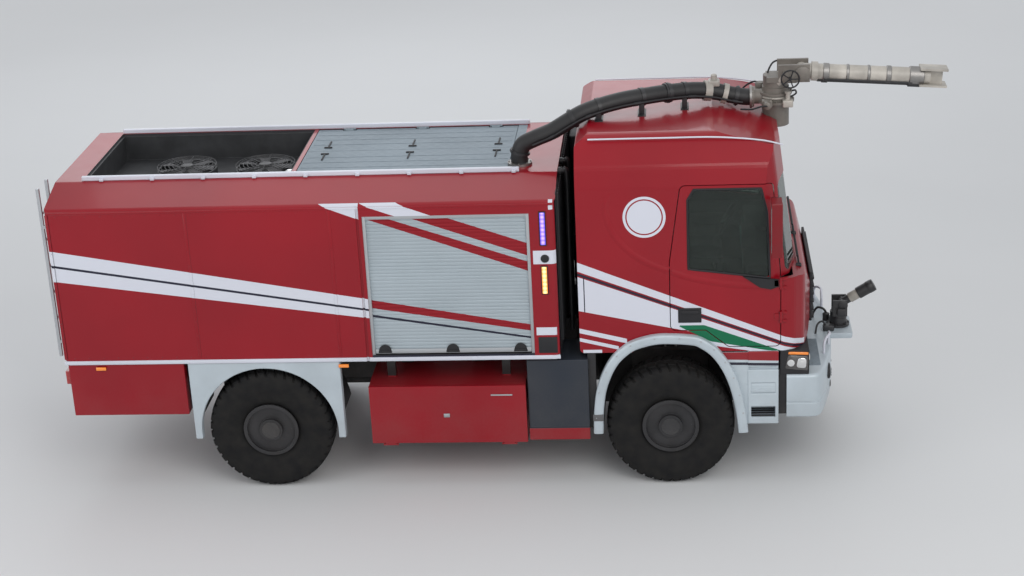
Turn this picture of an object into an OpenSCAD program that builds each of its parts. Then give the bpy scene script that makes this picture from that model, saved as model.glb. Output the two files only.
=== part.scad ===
// Airport fire truck with two driven axles, a long single cab and a box body.
// Millimetres. X runs forward, Y to the truck's left and Z up from the ground.
// The origin is on the ground, halfway between the rear ladder and the tip of the roof monitor.

/* [Axles and wheels] */
// Place of the front axle ahead of the origin
front_axle_x = 1640; // [1500:10:1700]
// Distance between the axles
wheelbase = 3930; // [3880:10:3980]
// Outer diameter of a tyre
tyre_d = 1240; // [1200:10:1260]
// Width of a tyre
tyre_w = 385; // [340:5:390]
// Diameter of the bead seat of a rim
rim_d = 508; // [480:4:540]
// Distance between the outer faces of the two tyres on an axle
track_out = 2490; // [2460:5:2510]
// Distance of a kingpin from the outer face of its tyre
kingpin_in = 265; // [255:5:275]
// Diameter of a wheel spindle
spindle_d = 90; // [70:2:100]
// Diameter of a kingpin
kingpin_d = 50; // [40:2:60]
// Radial running clearance of a pin in its bore
run_gap = 0.05; // [0.02:0.01:0.08]
// Diameter of an axle tube
axle_d = 150; // [130:5:170]

/* [Chassis] */
// Underside of the frame rails
rail_z = 840; // [830:5:860]
// Height of a frame rail
rail_h = 260; // [240:5:270]
// Width of a frame rail
rail_w = 80; // [60:5:90]
// Distance between the middles of the rails
rail_span = 860; // [800:10:880]
// Width of a leaf spring
spring_w = 76; // [50:2:80]

/* [Cab] */
// Rear wall of the cab behind the front axle
cab_back = 850; // [800:5:860]
// Front of the cab ahead of the front axle
cab_ahead = 1370; // [1350:5:1390]
// Width of the cab over its sides
cab_w = 2420; // [2380:10:2440]
// Underside of the cab
cab_z = 1400; // [1395:1:1420]
// Top of the cab roof
roof_z = 3500; // [3480:5:3520]
// Thickness of the cab's walls and doors
cab_wall = 50; // [40:2:60]
// Height of the windscreen's lower edge
belt_z = 2130; // [2110:5:2150]
// Height of the windscreen's upper edge
screen_top = 3040; // [3000:5:3060]
// Thickness of the window glass
glass_t = 8; // [6:1:12]
// Gap around a cab door
door_gap = 8; // [6:1:12]
// Rear edge of a cab door ahead of the front axle
door_back = 20; // [0:5:60]
// Front edge of a cab door ahead of the front axle
door_ahead = 1050; // [1040:5:1060]

/* [Body] */
// Width of the body over its sides
body_w = 2550; // [2540:5:2560]
// Front wall of the body behind the front axle
body_front = 1030; // [1010:5:1060]
// Length of the body
body_l = 4870; // [4850:10:4890]
// Underside of the body
body_z = 1370; // [1350:5:1380]
// Height of the flat part of the body's sides
side_top = 2960; // [2940:5:2980]
// Height of the roof deck
deck_z = 3100; // [3080:5:3120]
// Thickness of the body's walls
body_wall = 45; // [35:1:55]
// Half the width of the roof deck
deck_half = 740; // [700:10:750]
// Length of the roof deck
deck_l = 2160; // [2100:10:2200]
// Depth of the trays under the deck and in the rear well
tray_h = 300; // [240:10:340]
// Length of a side shutter
shutter_l = 1570; // [1520:10:1600]
// Height of a side shutter
shutter_h = 1420; // [1380:10:1440]
// Thickness of a roller shutter
shutter_t = 24; // [16:1:30]

/* [Lockers and fenders] */
// Length of a side locker
locker_l = 1530; // [1490:10:1540]
// Height of a side locker
locker_h = 610; // [580:10:620]
// Underside of the side lockers
locker_z = 480; // [470:5:500]
// Depth of a side locker from its flap inwards
locker_d = 620; // [560:10:640]
// Thickness of a locker flap
flap_t = 30; // [20:1:36]
// Clearance around moving flaps and lids
flap_gap = 6; // [5:1:8]
// Radius of the rear wheel arches
arch_r = 680; // [670:5:690]
// Width of the front arch flares, seen from the side
flare_w = 95; // [80:5:100]

/* [Monitors] */
// Diameter of the roof monitor's barrel
barrel_d = 150; // [120:5:160]
// Length of the roof monitor's barrel ahead of its trunnion
barrel_l = 1377; // [1300:1:1400]
// Diameter of the pipe that feeds the roof monitor
feed_d = 164; // [140:4:172]
// Outer diameter of the bumper monitor's nozzle
nozzle_d = 120; // [90:5:130]
// Gap between the turning faces of a monitor
turn_gap = 0.3; // [0.2:0.1:0.5]

/* [Hidden] */
$fn = 48;
// A cut reaches this far past the faces it goes through
cut = 5;
far = 6000;

// Places along the truck
rear_axle_x = front_axle_x - wheelbase;
cab_x0 = front_axle_x - cab_back;
cab_x1 = front_axle_x + cab_ahead;
body_x1 = front_axle_x - body_front;
body_x0 = body_x1 - body_l;
axle_z = tyre_d / 2;

// Wheels, knuckles and axles
tyre_out = track_out / 2;
kingpin_y = tyre_out - kingpin_in;
rim_wall = 16;
eye_r = kingpin_d / 2 + 35;
eye_h = 160;
fork_gap = 5;
fork_t = 40;
plate_in = eye_r + 8;
plate_t = 32;
hub_in = kingpin_y + plate_in + plate_t + 6;
hub_out = tyre_out - 16;
hub_r = spindle_d / 2 + 70;
spindle_end = hub_out - 40;
diff_r = 190;
flange_x = diff_r + 60;
flange_r = 62;

// Frame
rail_y = rail_span / 2;
rail_top = rail_z + rail_h;
frame_x0 = body_x0 + 150;
frame_x1 = front_axle_x + 1250;
eye_plate = 36;
tow_r = 22;
tow_x = frame_x0 + 60;
tow_z = rail_z - 70;
case_x0 = front_axle_x - 1880;
case_x1 = case_x0 + 580;

// Cab
half_cab = cab_w / 2;
screen_x = cab_x1 - 145;
lean = 7;
cowl = [screen_x + 75, belt_z - 20];
header_x = screen_x - (screen_top - belt_z) * tan(lean);
glass_in = 6;
// Side view of the cab, from the lower rear corner forwards and over the roof
cab_side = [
    [cab_x0, cab_z], [cab_x1 - 40, cab_z], [cab_x1, cab_z + 180], [cab_x1, belt_z - 280],
    cowl, [screen_x, belt_z], [header_x, screen_top], [header_x + 36, screen_top + 90],
    [header_x + 10, roof_z - 180], [header_x - 100, roof_z - 120], [cab_x0 + 1300, roof_z],
    [cab_x0 + 120, roof_z], [cab_x0, roof_z - 90]
];
// Front view of the cab's right half, from below up to the roof
cab_front = [
    [half_cab, cab_z - 400], [half_cab, belt_z + 60], [half_cab - 34, screen_top],
    [half_cab - 78, screen_top + 190], [half_cab - 270, roof_z]
];

// Door
door_x0 = front_axle_x + door_back;
door_x1 = front_axle_x + door_ahead;
door_z0 = cab_z + 50;
door_z1 = screen_top + 12;
arch_top = axle_z + 970;
door_side = [
    [door_x0, arch_top + 35], [door_x0 + 330, arch_top + 35], [door_x0 + 545, door_z0],
    [door_x1, door_z0], [door_x1, belt_z + 40], [door_x1 - 70, door_z1],
    [door_x0 + 110, door_z1], [door_x0, belt_z + 180]
];
window_side = [
    [door_x0 + 170, belt_z + 110], [door_x1 - 95, belt_z + 10], [door_x1 - 120, screen_top - 250],
    [door_x1 - 175, screen_top - 20], [door_x0 + 230, screen_top - 20], [door_x0 + 170, screen_top - 120]
];
hinge_r = 14;
hinge_off = hinge_r + 2;
door_hinge = [door_x1 + door_gap / 2, half_cab + hinge_off];
door_hinge_z = [cab_z + 320, belt_z - 70];
leaf_l = 60;
leaf_t = 12;
hinge_pin = 6;
hinge_h = 60;

// Body
half_body = body_w / 2;
shutter_x1 = body_x1 - 250;
shutter_x0 = shutter_x1 - shutter_l;
shutter_z = body_z + 60;
shutter_in = 30;
deck_x1 = body_x1 - 380;
deck_x0 = deck_x1 - deck_l;
well_x1 = deck_x0 - 40;
well_x0 = body_x0 + 260;
rear_door_half = 860;
rear_door_z = [body_z + 130, side_top - 160];
body_section = [
    [half_body, body_z - 300], [half_body, side_top], [deck_half + 60, deck_z]
];
tray_t = 24;
lid_t = 20;
lid_z = deck_z - 2;
lid_axis = [deck_half - 22, lid_z + 4];

// Engine at the rear, between the walls of the body and the bearers under them
engine_x0 = body_x0 + 620;
engine_l = 1250;
bearer_half = 60;
bearer_gap = 140;
engine_half = 420;
engine_h = 950;

// Lower sides
fender_x1 = rear_axle_x + arch_r + 70;
fender_x0 = rear_axle_x - arch_r - 70;
fender_z = 550;
locker_x0 = fender_x1 + 260;
locker_x1 = locker_x0 + locker_l;
locker_out = half_body - 15;
tank_x1 = front_axle_x - 780;
tank_x0 = locker_x1 + 20;
tank_z = 630;
tank_in = half_body - 580;
flap_axis = [locker_out - flap_t / 2, locker_z - 16];

// Outer edge of a front arch flare: the columns are the distances ahead of the front axle's middle
// and above it
flare_side = [
    [-745, -400], [-745, -50], [-705, 400], [-565, 730], [-350, 905], [-140, 970], [250, 955],
    [450, 825], [610, 580], [700, 280], [745, -50], [745, -400]
];
flare_foot = axle_z - 50;
wheel_sweep = tyre_d / 2 + 70;
well_depth = 240;

// Bumper
bumper_z0 = 700;
bumper_z1 = 1150;
bumper_x0 = front_axle_x + 1110;
bumper_corner = front_axle_x + 1480;
bumper_mid = front_axle_x + 1600;
half_bumper = half_cab + 20;

// Monitors
roof_mon_x = front_axle_x + 1060;
roof_pan_z = roof_z + 160;
roof_pivot = [roof_mon_x + 250, roof_z + 300];
bump_mon = [front_axle_x + 1690, bumper_z1];
bump_pan_z = bump_mon[1] + 90;
bump_pivot = [bump_mon[0] + 40, bump_pan_z + 150];
bump_tilt = 31;
// Stations of the feed pipe's middle line: the columns are the distances ahead of the front
// axle and to the left of the middle, the share of the step from the deck up to the cab's roof,
// and the height above that
pipe_stations = [
    [-1400, -540, 0, 0], [-1400, -540, 0, 90], [-1360, -540, 0, 190], [-1240, -530, 0.5, 50],
    [-1080, -510, 0.5, 110], [-920, -490, 1, 0], [-780, -460, 1, 70], [-600, -410, 1, 120],
    [-400, -340, 1, 150], [-190, -260, 1, 160], [30, -160, 1, 160], [260, -70, 1, 150],
    [470, -15, 1, 120], [620, 0, 1, 80], [760, 0, 1, 55], [830, 0, 1, 55]
];
pipe_points = [for (p = pipe_stations) [p[0], p[1], p[2] * (roof_z - deck_z) + p[3]]];
// The lids end behind the foot of the feed pipe
lid_x1 = front_axle_x + pipe_points[0][0] - feed_d / 2 - 20;
lid_gap = 6;

function mirror_y(points) = [for (i = [len(points) - 1:-1:0]) [-points[i][0], points[i][1]]];

// Extrudes an X-Z outline along Y between two values
module along_y(y0, y1) {
    translate([0, y1, 0]) rotate([90, 0, 0]) linear_extrude(y1 - y0) children();
}

// Extrudes a Y-Z outline along X between two values
module along_x(x0, x1) {
    translate([x0, 0, 0]) rotate([90, 0, 90]) linear_extrude(x1 - x0) children();
}

// Rounds an outline's outer corners
module rounded(r) {
    offset(r = r, $fn = 32) offset(delta = -r) children();
}

// Box between two corners
module block(a, b) {
    translate(a) cube(b - a);
}

// Draws its children on both sides of the truck
module both_sides() {
    children();
    mirror([0, 1, 0]) children();
}

// Cylinders along Y and along X, from one end to the other
module bar_y(x, z, r, y0, y1) {
    translate([x, y0, z]) rotate([-90, 0, 0]) cylinder(r = r, h = y1 - y0);
}

module bar_x(y, z, r, x0, x1) {
    translate([x0, y, z]) rotate([0, 90, 0]) cylinder(r = r, h = x1 - x0);
}

// Plan of the cab's front, which curves back into both sides; its foremost point is at x = 0.
// Behind the curve it is wider than the cab, so that the front view alone forms the sides.
module cab_plan() {
    side = [
        [-far, half_cab + 60], [-300, half_cab + 8], [-190, half_cab - 40], [-85, half_cab - 150],
        [-12, half_cab - 520]
    ];
    rounded(150) polygon(concat(side, [for (i = [len(side) - 1:-1:0]) [side[i][0], -side[i][1]]]));
}

// The whole outer form of the cab, set in from its faces by one distance
module cab_form(inset) {
    intersection() {
        along_y(-half_cab, half_cab)
            offset(delta = -inset) rounded(40) polygon(cab_side);
        along_x(cab_x0, cab_x1)
            offset(delta = -inset) rounded(130) polygon(concat(cab_front, mirror_y(cab_front)));
        union() {
            translate([cab_x1, 0, cab_z]) linear_extrude(belt_z - cab_z)
                offset(delta = -inset) cab_plan();
            translate([screen_x, 0, belt_z]) rotate([0, -lean, 0]) linear_extrude(roof_z - belt_z + 300)
                offset(delta = -inset) cab_plan();
        }
    }
}

// The prism that the windscreen fills
module screen_prism(x0) {
    foot = half_cab - 112;
    top = half_cab - 152;
    along_x(x0, cab_x1 + cut) rounded(60) polygon([
        [-foot, belt_z + 34], [foot, belt_z + 34], [top, screen_top - 16], [-top, screen_top - 16]
    ]);
}

// The prism of the right door, grown by a gap
module door_prism(grow) {
    along_y(-half_cab - cut, -half_cab / 2) offset(delta = grow) rounded(50) polygon(door_side);
}

module window_prism() {
    along_y(-half_cab - cut, -half_cab / 2) rounded(50) polygon(window_side);
}

// One leaf of a door hinge beside its axis, seated on the skin, ahead of the axis or behind it
module hinge_leaf(h, ahead) {
    turn = ahead ? 0 : 1;
    mirror([turn, 0, 0]) {
        cylinder(r = hinge_r, h = h);
        block([0, hinge_off - leaf_t, 0], [leaf_l, hinge_r, h]);
        block([10, hinge_off - leaf_t, 0], [leaf_l, hinge_off, h]);
    }
}

// The parts of the right door's hinges: the door's barrels, or the cab's pins and ears
module door_barrels() {
    for (z = door_hinge_z) translate([door_hinge[0], -door_hinge[1], z]) difference() {
        hinge_leaf(hinge_h, false);
        translate([0, 0, -1]) cylinder(r = hinge_pin + run_gap, h = hinge_h + 2);
    }
}

module door_pins() {
    ear = 25;
    for (z = door_hinge_z) translate([door_hinge[0], -door_hinge[1], z]) {
        translate([0, 0, -ear]) cylinder(r = hinge_pin, h = hinge_h + 2 * ear);
        for (e = [-ear - 1, hinge_h + 1]) translate([0, 0, e]) hinge_leaf(ear, true);
    }
}

module cab_shell() {
    color("firebrick") union() {
        difference() {
            union() {
                difference() {
                    cab_form(0);
                    cab_form(cab_wall);
                }
                intersection() {
                    cab_form(0);
                    both_sides() wheel_well(cab_wall);
                }
            }
            both_sides() wheel_well(0);
            screen_prism(screen_x - 400);
            both_sides() door_prism(door_gap);
        }
        both_sides() door_pins();
    }
}

module windscreen() {
    color("darkslategray") intersection() {
        difference() {
            cab_form(glass_in);
            cab_form(glass_in + glass_t);
        }
        screen_prism(screen_x - 400);
    }
}

module cab_door() {
    color("firebrick") union() {
        difference() {
            intersection() {
                cab_form(0);
                door_prism(0);
            }
            cab_form(cab_wall);
            window_prism();
        }
        door_barrels();
    }
}

module cab_door_left() {
    mirror([0, 1, 0]) cab_door();
}

module cab_door_right() {
    cab_door();
}

module door_glass() {
    color("darkslategray") intersection() {
        difference() {
            cab_form(glass_in);
            cab_form(glass_in + glass_t);
        }
        window_prism();
    }
}

module door_glass_left() {
    mirror([0, 1, 0]) door_glass();
}

module door_glass_right() {
    door_glass();
}

// Grille on the lower front of the cab, and the dark panel between bumper and cab
module front_grille() {
    half = 640;
    slats = 6;
    slat_z = belt_z - 640;
    pitch = 80;
    color("dimgray") {
        block([bumper_x0 + 90, -half_bumper + 480, bumper_z1], [cab_x1 - 60, half_bumper - 480, cab_z]);
        difference() {
            union() {
                block([cab_x1 - 12, -half, slat_z - 30], [cab_x1 + 14, half, slat_z + slats * pitch]);
                for (i = [0:slats - 1])
                    block([cab_x1 + 14, -half, slat_z + i * pitch],
                          [cab_x1 + 34, half, slat_z + i * pitch + 30]);
            }
            cab_form(0);
        }
    }
}

module front_bumper() {
    wing = half_bumper;
    plan = [
        [bumper_x0, wing], [bumper_x0, wing - 60], [frame_x1, wing - 60], [frame_x1, -wing + 60],
        [bumper_x0, -wing + 60], [bumper_x0, -wing], [bumper_corner - 60, -wing],
        [bumper_corner, -wing + 120], [bumper_mid, -wing + 700], [bumper_mid, wing - 700],
        [bumper_corner, wing - 120], [bumper_corner - 60, wing]
    ];
    color("gainsboro") difference() {
        union() {
            translate([0, 0, bumper_z0]) linear_extrude(bumper_z1 - bumper_z0) polygon(plan);
            block([bumper_mid - cut, -230, bumper_z1 - 60], [bump_mon[0] + 130, 230, bumper_z1]);
        }
        block([frame_x1 + 60, -wing + 200, bumper_z0 - cut], [bumper_mid - 60, wing - 200, bumper_z1 - 60]);
    }
}

module headlamps() {
    color("dimgray") both_sides()
        block([bumper_x0 - 60, -half_cab, bumper_z1], [cab_x1 - 45, -half_bumper + 480, cab_z]);
}

// Steps under the front of each door
module cab_steps() {
    x0 = front_axle_x + 745;
    x1 = front_axle_x + 1035;
    y0 = -half_cab - 20;
    frame = 30;
    depth = 260;
    step_z = [axle_z + 90, axle_z + 340];
    step_h = 110;
    slot_z = axle_z + 590;
    color("gainsboro") both_sides() difference() {
        block([x0, y0, axle_z + 20], [x1, y0 + depth, cab_z]);
        for (z = step_z) block([x0 + frame, y0 - cut, z], [x1 - frame, y0 + depth - 2 * frame, z + step_h]);
        block([x0 - cut, y0 - cut, slot_z], [x1 + cut, y0 + frame, slot_z + frame]);
    }
}

// Outlines of a front arch, outside and inside its flare
module arch_outer() {
    translate([front_axle_x, axle_z]) rounded(90) polygon(flare_side);
}

module arch_inner() {
    union() {
        offset(delta = -flare_w) arch_outer();
        translate([front_axle_x, axle_z]) circle(r = wheel_sweep, $fn = 64);
        translate([front_axle_x - wheel_sweep, 0]) square([2 * wheel_sweep, axle_z]);
    }
}

module flare_ring() {
    intersection() {
        difference() {
            arch_outer();
            arch_inner();
        }
        translate([front_axle_x - far / 2, flare_foot]) square([far, far]);
    }
}

// The wheel well in the right side of the cab, grown by a wall
module wheel_well(grow) {
    along_y(-half_cab - cut, -half_cab + well_depth + grow) intersection() {
        offset(delta = grow) arch_inner();
        translate([front_axle_x - far / 2, cab_z - cut]) square([far, far]);
    }
}

module front_arches() {
    color("gainsboro") both_sides() {
        along_y(-half_body, -half_cab) flare_ring();
        along_y(-half_cab, -half_cab + well_depth) intersection() {
            flare_ring();
            translate([front_axle_x - far / 2, 0]) square([far, cab_z]);
        }
    }
}

module dashboard() {
    x1 = screen_x - 130;
    x0 = x1 - 330;
    floor_z = cab_z + cab_wall;
    half = half_cab - cab_wall - 60;
    wheel_y = 620;
    color("dimgray") union() {
        block([x0, -half, floor_z], [x1, half, belt_z - 60]);
        translate([x0 + 60, wheel_y, belt_z - 200]) rotate([0, -58, 0]) {
            cylinder(r = 32, h = 260);
            translate([0, 0, 245]) difference() {
                cylinder(r = 225, h = 30);
                translate([0, 0, -1]) difference() {
                    cylinder(r = 190, h = 32);
                    for (a = [0, 120, 240]) rotate(a) block([0, -22, 0], [195, 22, 32]);
                    cylinder(r = 50, h = 32);
                }
            }
        }
    }
}

// Crew seats: the columns are distance ahead of the front axle and distance from the middle
module seats() {
    places = [[330, 620], [330, -620], [-420, 620], [-420, 0], [-420, -620]];
    floor_z = cab_z + cab_wall;
    color("dimgray") for (p = places) translate([front_axle_x + p[0], p[1], floor_z]) {
        block([-170, -170, 0], [170, 170, 260]);
        block([-250, -240, 260], [250, 240, 390]);
        translate([-250, 0, 390]) rotate([0, -10, 0]) block([0, -230, 0], [110, 230, 640]);
        translate([-250, 0, 390]) rotate([0, -10, 0]) block([15, -130, 640], [95, 130, 820]);
    }
}

// Mirror on two arms from the frame of the right door's window
module mirror_head() {
    x0 = door_x1 - 66;
    z0 = belt_z + 330;
    z1 = screen_top - 60;
    head_y = half_cab + 110;
    color("dimgray") difference() {
        union() {
            block([x0 - 30, -head_y - 210, z0], [x0 + 70, -head_y, z1]);
            for (z = [z0 + 60, z1 - 90]) block([x0, -head_y - cut, z], [x0 + 30, -half_cab + 60, z + 30]);
        }
        cab_form(0);
    }
}

module mirror_left() {
    mirror([0, 1, 0]) mirror_head();
}

module mirror_right() {
    mirror_head();
}

// Frame rails with their cab mounts and towing eyes
module chassis_frame() {
    mount_half = 70;
    mount_x = [cab_x0 + 130, frame_x1 - 150];
    color("darkslategray") both_sides() union() {
        block([frame_x0, -rail_y - rail_w / 2, rail_z], [frame_x1, -rail_y + rail_w / 2, rail_top]);
        for (x = mount_x)
            block([x - mount_half, -rail_y - rail_w / 2, rail_top],
                  [x + mount_half, -rail_y + rail_w / 2, cab_z]);
        rear_eye();
    }
}

// Cross members between the rails
module cross_members() {
    half = 50;
    inset = 40;
    y1 = rail_y - rail_w / 2;
    cross_x = [tow_x + 240, rear_axle_x + 900, case_x0 - 120, case_x1 + 400, frame_x1 - 260];
    color("darkslategray") for (x = cross_x)
        block([x - half, -y1, rail_z + inset], [x + half, y1, rail_top - inset]);
}

// Bearers across the rails that carry the body
module body_bearers() {
    bearer_x = [
        engine_x0 - bearer_gap - bearer_half, engine_x0 + engine_l + 580, locker_x0 + 320, locker_x1 - 510,
        body_x1 - 160
    ];
    color("darkslategray") for (x = bearer_x)
        block([x - bearer_half, -tank_in, rail_top], [x + bearer_half, tank_in, body_z]);
}

// Towing eye under the rear end of a rail, on the right side
module rear_eye() {
    y = -rail_y - eye_plate / 2;
    half = 60;
    difference() {
        block([tow_x - half, y, tow_z - half], [tow_x + half, y + eye_plate, rail_z + cut]);
        bar_y(tow_x, tow_z, tow_r, y - cut, y + eye_plate + cut);
    }
}

module engine_block() {
    color("gray")
        block([engine_x0, -engine_half, rail_top], [engine_x0 + engine_l, engine_half, rail_top + engine_h]);
}

// Housing in the middle of an axle, with its drive flange behind or ahead
module axle_tube(x, reach, ahead) {
    bar_y(x, axle_z, axle_d / 2, -reach, reach);
    translate([x, 0, axle_z]) sphere(r = diff_r);
    if (ahead)
        bar_x(0, axle_z, flange_r, x, x + flange_x);
    else
        bar_x(0, axle_z, flange_r, x - flange_x, x);
}

module front_axle() {
    neck = 45;
    color("darkslategray") difference() {
        union() {
            axle_tube(front_axle_x, kingpin_y - 170, false);
            both_sides() {
                block([front_axle_x - neck, -kingpin_y, axle_z - 60],
                      [front_axle_x + neck, -kingpin_y + 200, axle_z + 60]);
                translate([front_axle_x, -kingpin_y, axle_z - eye_h / 2]) cylinder(r = eye_r, h = eye_h);
            }
        }
        both_sides() translate([front_axle_x, -kingpin_y, axle_z - eye_h / 2 - cut])
            cylinder(r = kingpin_d / 2 + run_gap, h = eye_h + 2 * cut);
    }
}

module rear_axle() {
    color("darkslategray") union() {
        axle_tube(rear_axle_x, hub_in - 6, true);
        bar_y(rear_axle_x, axle_z, spindle_d / 2, -spindle_end, spindle_end);
    }
}

// Fork, kingpin and spindle that carry the right front wheel
module knuckle() {
    fork_z = eye_h / 2 + fork_gap;
    color("dimgray") translate([front_axle_x, -kingpin_y, axle_z]) union() {
        translate([0, 0, -fork_z - fork_t]) cylinder(r = kingpin_d / 2, h = 2 * (fork_z + fork_t));
        for (z = [-fork_z - fork_t, fork_z]) translate([0, 0, z]) {
            cylinder(r = eye_r, h = fork_t);
            block([-eye_r, -plate_in - plate_t, 0], [eye_r, 0, fork_t]);
        }
        block([-eye_r, -plate_in - plate_t, -fork_z - fork_t], [eye_r, -plate_in, fork_z + fork_t]);
        bar_y(0, 0, spindle_d / 2, kingpin_y - spindle_end, -plate_in - 1);
    }
}

module knuckle_left() {
    mirror([0, 1, 0]) knuckle();
}

module knuckle_right() {
    knuckle();
}

// Leaf springs over the axles, with hangers up to the rails
module suspension() {
    leaf_l = 1240;
    leaf_z = axle_z + axle_d / 2;
    color("darkslategray") for (x = [front_axle_x, rear_axle_x]) both_sides() difference() {
        union() {
            block([x - leaf_l / 2, -rail_y - spring_w / 2, rail_z - 90],
                  [x + leaf_l / 2, -rail_y + spring_w / 2, rail_z - 50]);
            block([x - leaf_l / 3, -rail_y - spring_w / 2, rail_z - 120],
                  [x + leaf_l / 3, -rail_y + spring_w / 2, rail_z - 90]);
            for (s = [-1, 1]) translate([x + s * (leaf_l / 2 - 50), 0, 0])
                block([-50, -rail_y - spring_w / 2, rail_z - 50], [50, -rail_y + spring_w / 2, rail_z]);
            block([x - 70, -rail_y - spring_w / 2, axle_z], [x + 70, -rail_y + spring_w / 2, rail_z - 120]);
        }
        bar_y(x, axle_z, axle_d / 2, -half_body, half_body);
        translate([x, 0, axle_z]) sphere(r = diff_r);
    }
}

// Transfer case hung between the rails, and the shafts to both axles
module driveline() {
    shaft_r = 48;
    color("darkslategray") union() {
        block([case_x0, -rail_y + rail_w / 2, axle_z - 110], [case_x1, rail_y - rail_w / 2, rail_z + 120]);
        bar_x(0, axle_z, shaft_r, case_x1 - cut, front_axle_x - flange_x);
        bar_x(0, axle_z, shaft_r, rear_axle_x + flange_x, case_x0 + cut);
    }
}

// Outer form of the body, set in from its faces by one distance
module body_form(inset) {
    intersection() {
        along_x(body_x0 + inset, body_x1 - inset)
            offset(delta = -inset) rounded(60) polygon(concat(body_section, mirror_y(body_section)));
        translate([0, 0, body_z + inset]) linear_extrude(deck_z - body_z) offset(delta = -inset) rounded(60)
            translate([body_x0, -half_body]) square([body_l, body_w]);
    }
}

module body_shell() {
    floor_gap = 15;
    seam_w = 24;
    seam_in = 12;
    seam_x = shutter_x0 - 45;
    color("firebrick") difference() {
        body_form(0);
        body_form(body_wall);
        both_sides() block([seam_x - seam_w / 2, -half_body - cut, body_z - cut],
                           [seam_x + seam_w / 2, -half_body + seam_in, deck_z + cut]);
        block([shutter_x0, -half_body - cut, shutter_z],
              [shutter_x1, half_body + cut, shutter_z + shutter_h]);
        block([body_x0 - cut, -rear_door_half, rear_door_z[0]],
              [body_x0 + body_wall + cut, rear_door_half, rear_door_z[1]]);
        block([deck_x0, -deck_half, deck_z - 200], [deck_x1, deck_half, deck_z + cut]);
        block([well_x0, -deck_half, deck_z - 200], [well_x1, deck_half, deck_z + cut]);
        block([engine_x0 - floor_gap, -engine_half - floor_gap, body_z - cut],
              [engine_x0 + engine_l + floor_gap, engine_half + floor_gap, body_z + body_wall + cut]);
    }
}

module roller_shutters() {
    y1 = half_body - shutter_in;
    color("silver") {
        both_sides()
            block([shutter_x0, -y1, shutter_z], [shutter_x1, -y1 + shutter_t, shutter_z + shutter_h]);
        block([body_x0 + shutter_in, -rear_door_half, rear_door_z[0]],
              [body_x0 + shutter_in + shutter_t, rear_door_half, rear_door_z[1]]);
    }
}

// Tray under the roof lids, which fills its opening in the body's roof
module roof_deck() {
    color("silver") union() {
        difference() {
            union() {
                block([deck_x0, -deck_half, deck_z - tray_h], [deck_x1, deck_half, lid_z - lid_t - flap_gap]);
                block([lid_x1, -deck_half, deck_z - tray_h], [deck_x1, deck_half, deck_z]);
            }
            block([deck_x0 + tray_t, -deck_half + tray_t, deck_z - tray_h + tray_t],
                  [lid_x1 - tray_t, deck_half - tray_t, deck_z + cut]);
        }
        both_sides() lid_pins();
    }
}

// Places of the hinges along the roof lids
lid_hinge_x = [for (i = [0:2]) deck_x0 + deck_l * (0.15 + 0.35 * i)];

module lid_pins() {
    w = 40;
    for (x = lid_hinge_x) {
        bar_x(-lid_axis[0], lid_axis[1], 5, x - w - 2, x + w + 2);
        for (s = [-1, 1]) translate([x + s * (w + 12), 0, 0]) {
            bar_x(-lid_axis[0], lid_axis[1], 10, -11, 11);
            block([-11, -lid_axis[0] - 20, lid_z - lid_t - flap_gap - cut],
                  [11, -lid_axis[0] - 4, lid_axis[1]]);
        }
    }
}

// Right lid of the roof tray, hinged along its outer edge
module roof_lid() {
    w = 40;
    color("silver") difference() {
        union() {
            difference() {
                block([deck_x0 + lid_gap, -lid_axis[0], lid_z - lid_t],
                      [lid_x1 - lid_gap, -flap_gap / 2, lid_z]);
                for (x = lid_hinge_x) block([x - w - 34, -lid_axis[0] - cut, lid_z - lid_t - cut],
                                            [x + w + 34, -lid_axis[0] + 30, lid_z + cut]);
            }
            for (x = lid_hinge_x) {
                bar_x(-lid_axis[0], lid_axis[1], 10, x - w, x + w);
                block([x - w, -lid_axis[0], lid_z - 8], [x + w, -lid_axis[0] + 40, lid_z + 6]);
            }
        }
        for (x = lid_hinge_x) bar_x(-lid_axis[0], lid_axis[1], 5 + run_gap, x - w - cut, x + w + cut);
    }
}

module roof_lid_left() {
    mirror([0, 1, 0]) roof_lid();
}

module roof_lid_right() {
    roof_lid();
}

// Low rails along both sides of the deck, and a lower one round the well
module roof_rails() {
    rail_in = deck_half + 10;
    color("white") both_sides()
        block([well_x0, -rail_in - 40, deck_z], [deck_x1 + 20, -rail_in, deck_z + 45]);
}

// Open well behind the deck, with the cooling fans over the engine
module engine_well() {
    fan_r = 300;
    fan_x = [for (i = [0:1]) well_x1 - 390 - i * 800];
    color("dimgray") union() {
        difference() {
            block([well_x0, -deck_half, deck_z - tray_h], [well_x1, deck_half, deck_z - body_wall / 2]);
            block([well_x0 + tray_t, -deck_half + tray_t, deck_z - tray_h + tray_t],
                  [well_x1 - tray_t, deck_half - tray_t, deck_z + cut]);
        }
        for (x = fan_x) translate([x, 0, deck_z - tray_h + tray_t - 1]) difference() {
            cylinder(r = fan_r, h = 130);
            translate([0, 0, 40]) difference() {
                cylinder(r = fan_r - 20, h = 130);
                cylinder(r = 80, h = 130);
            }
        }
    }
}

// Hollow boxes under the body's sides, open to the side behind their flaps
module side_lockers() {
    wall = 25;
    y1 = locker_out - flap_t - flap_gap;
    color("firebrick") both_sides() union() {
        difference() {
            block([locker_x0, -y1, locker_z], [locker_x1, -locker_out + locker_d, locker_z + locker_h]);
            block([locker_x0 + wall, -y1 - cut, locker_z + wall],
                  [locker_x1 - wall, -locker_out + locker_d - wall, locker_z + locker_h - wall]);
        }
        for (x = [locker_x0 + 200, locker_x1 - 200])
            block([x - 40, -half_body + 260, locker_z + locker_h], [x + 40, -half_body + 320, body_z]);
        flap_pins();
    }
}

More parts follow.
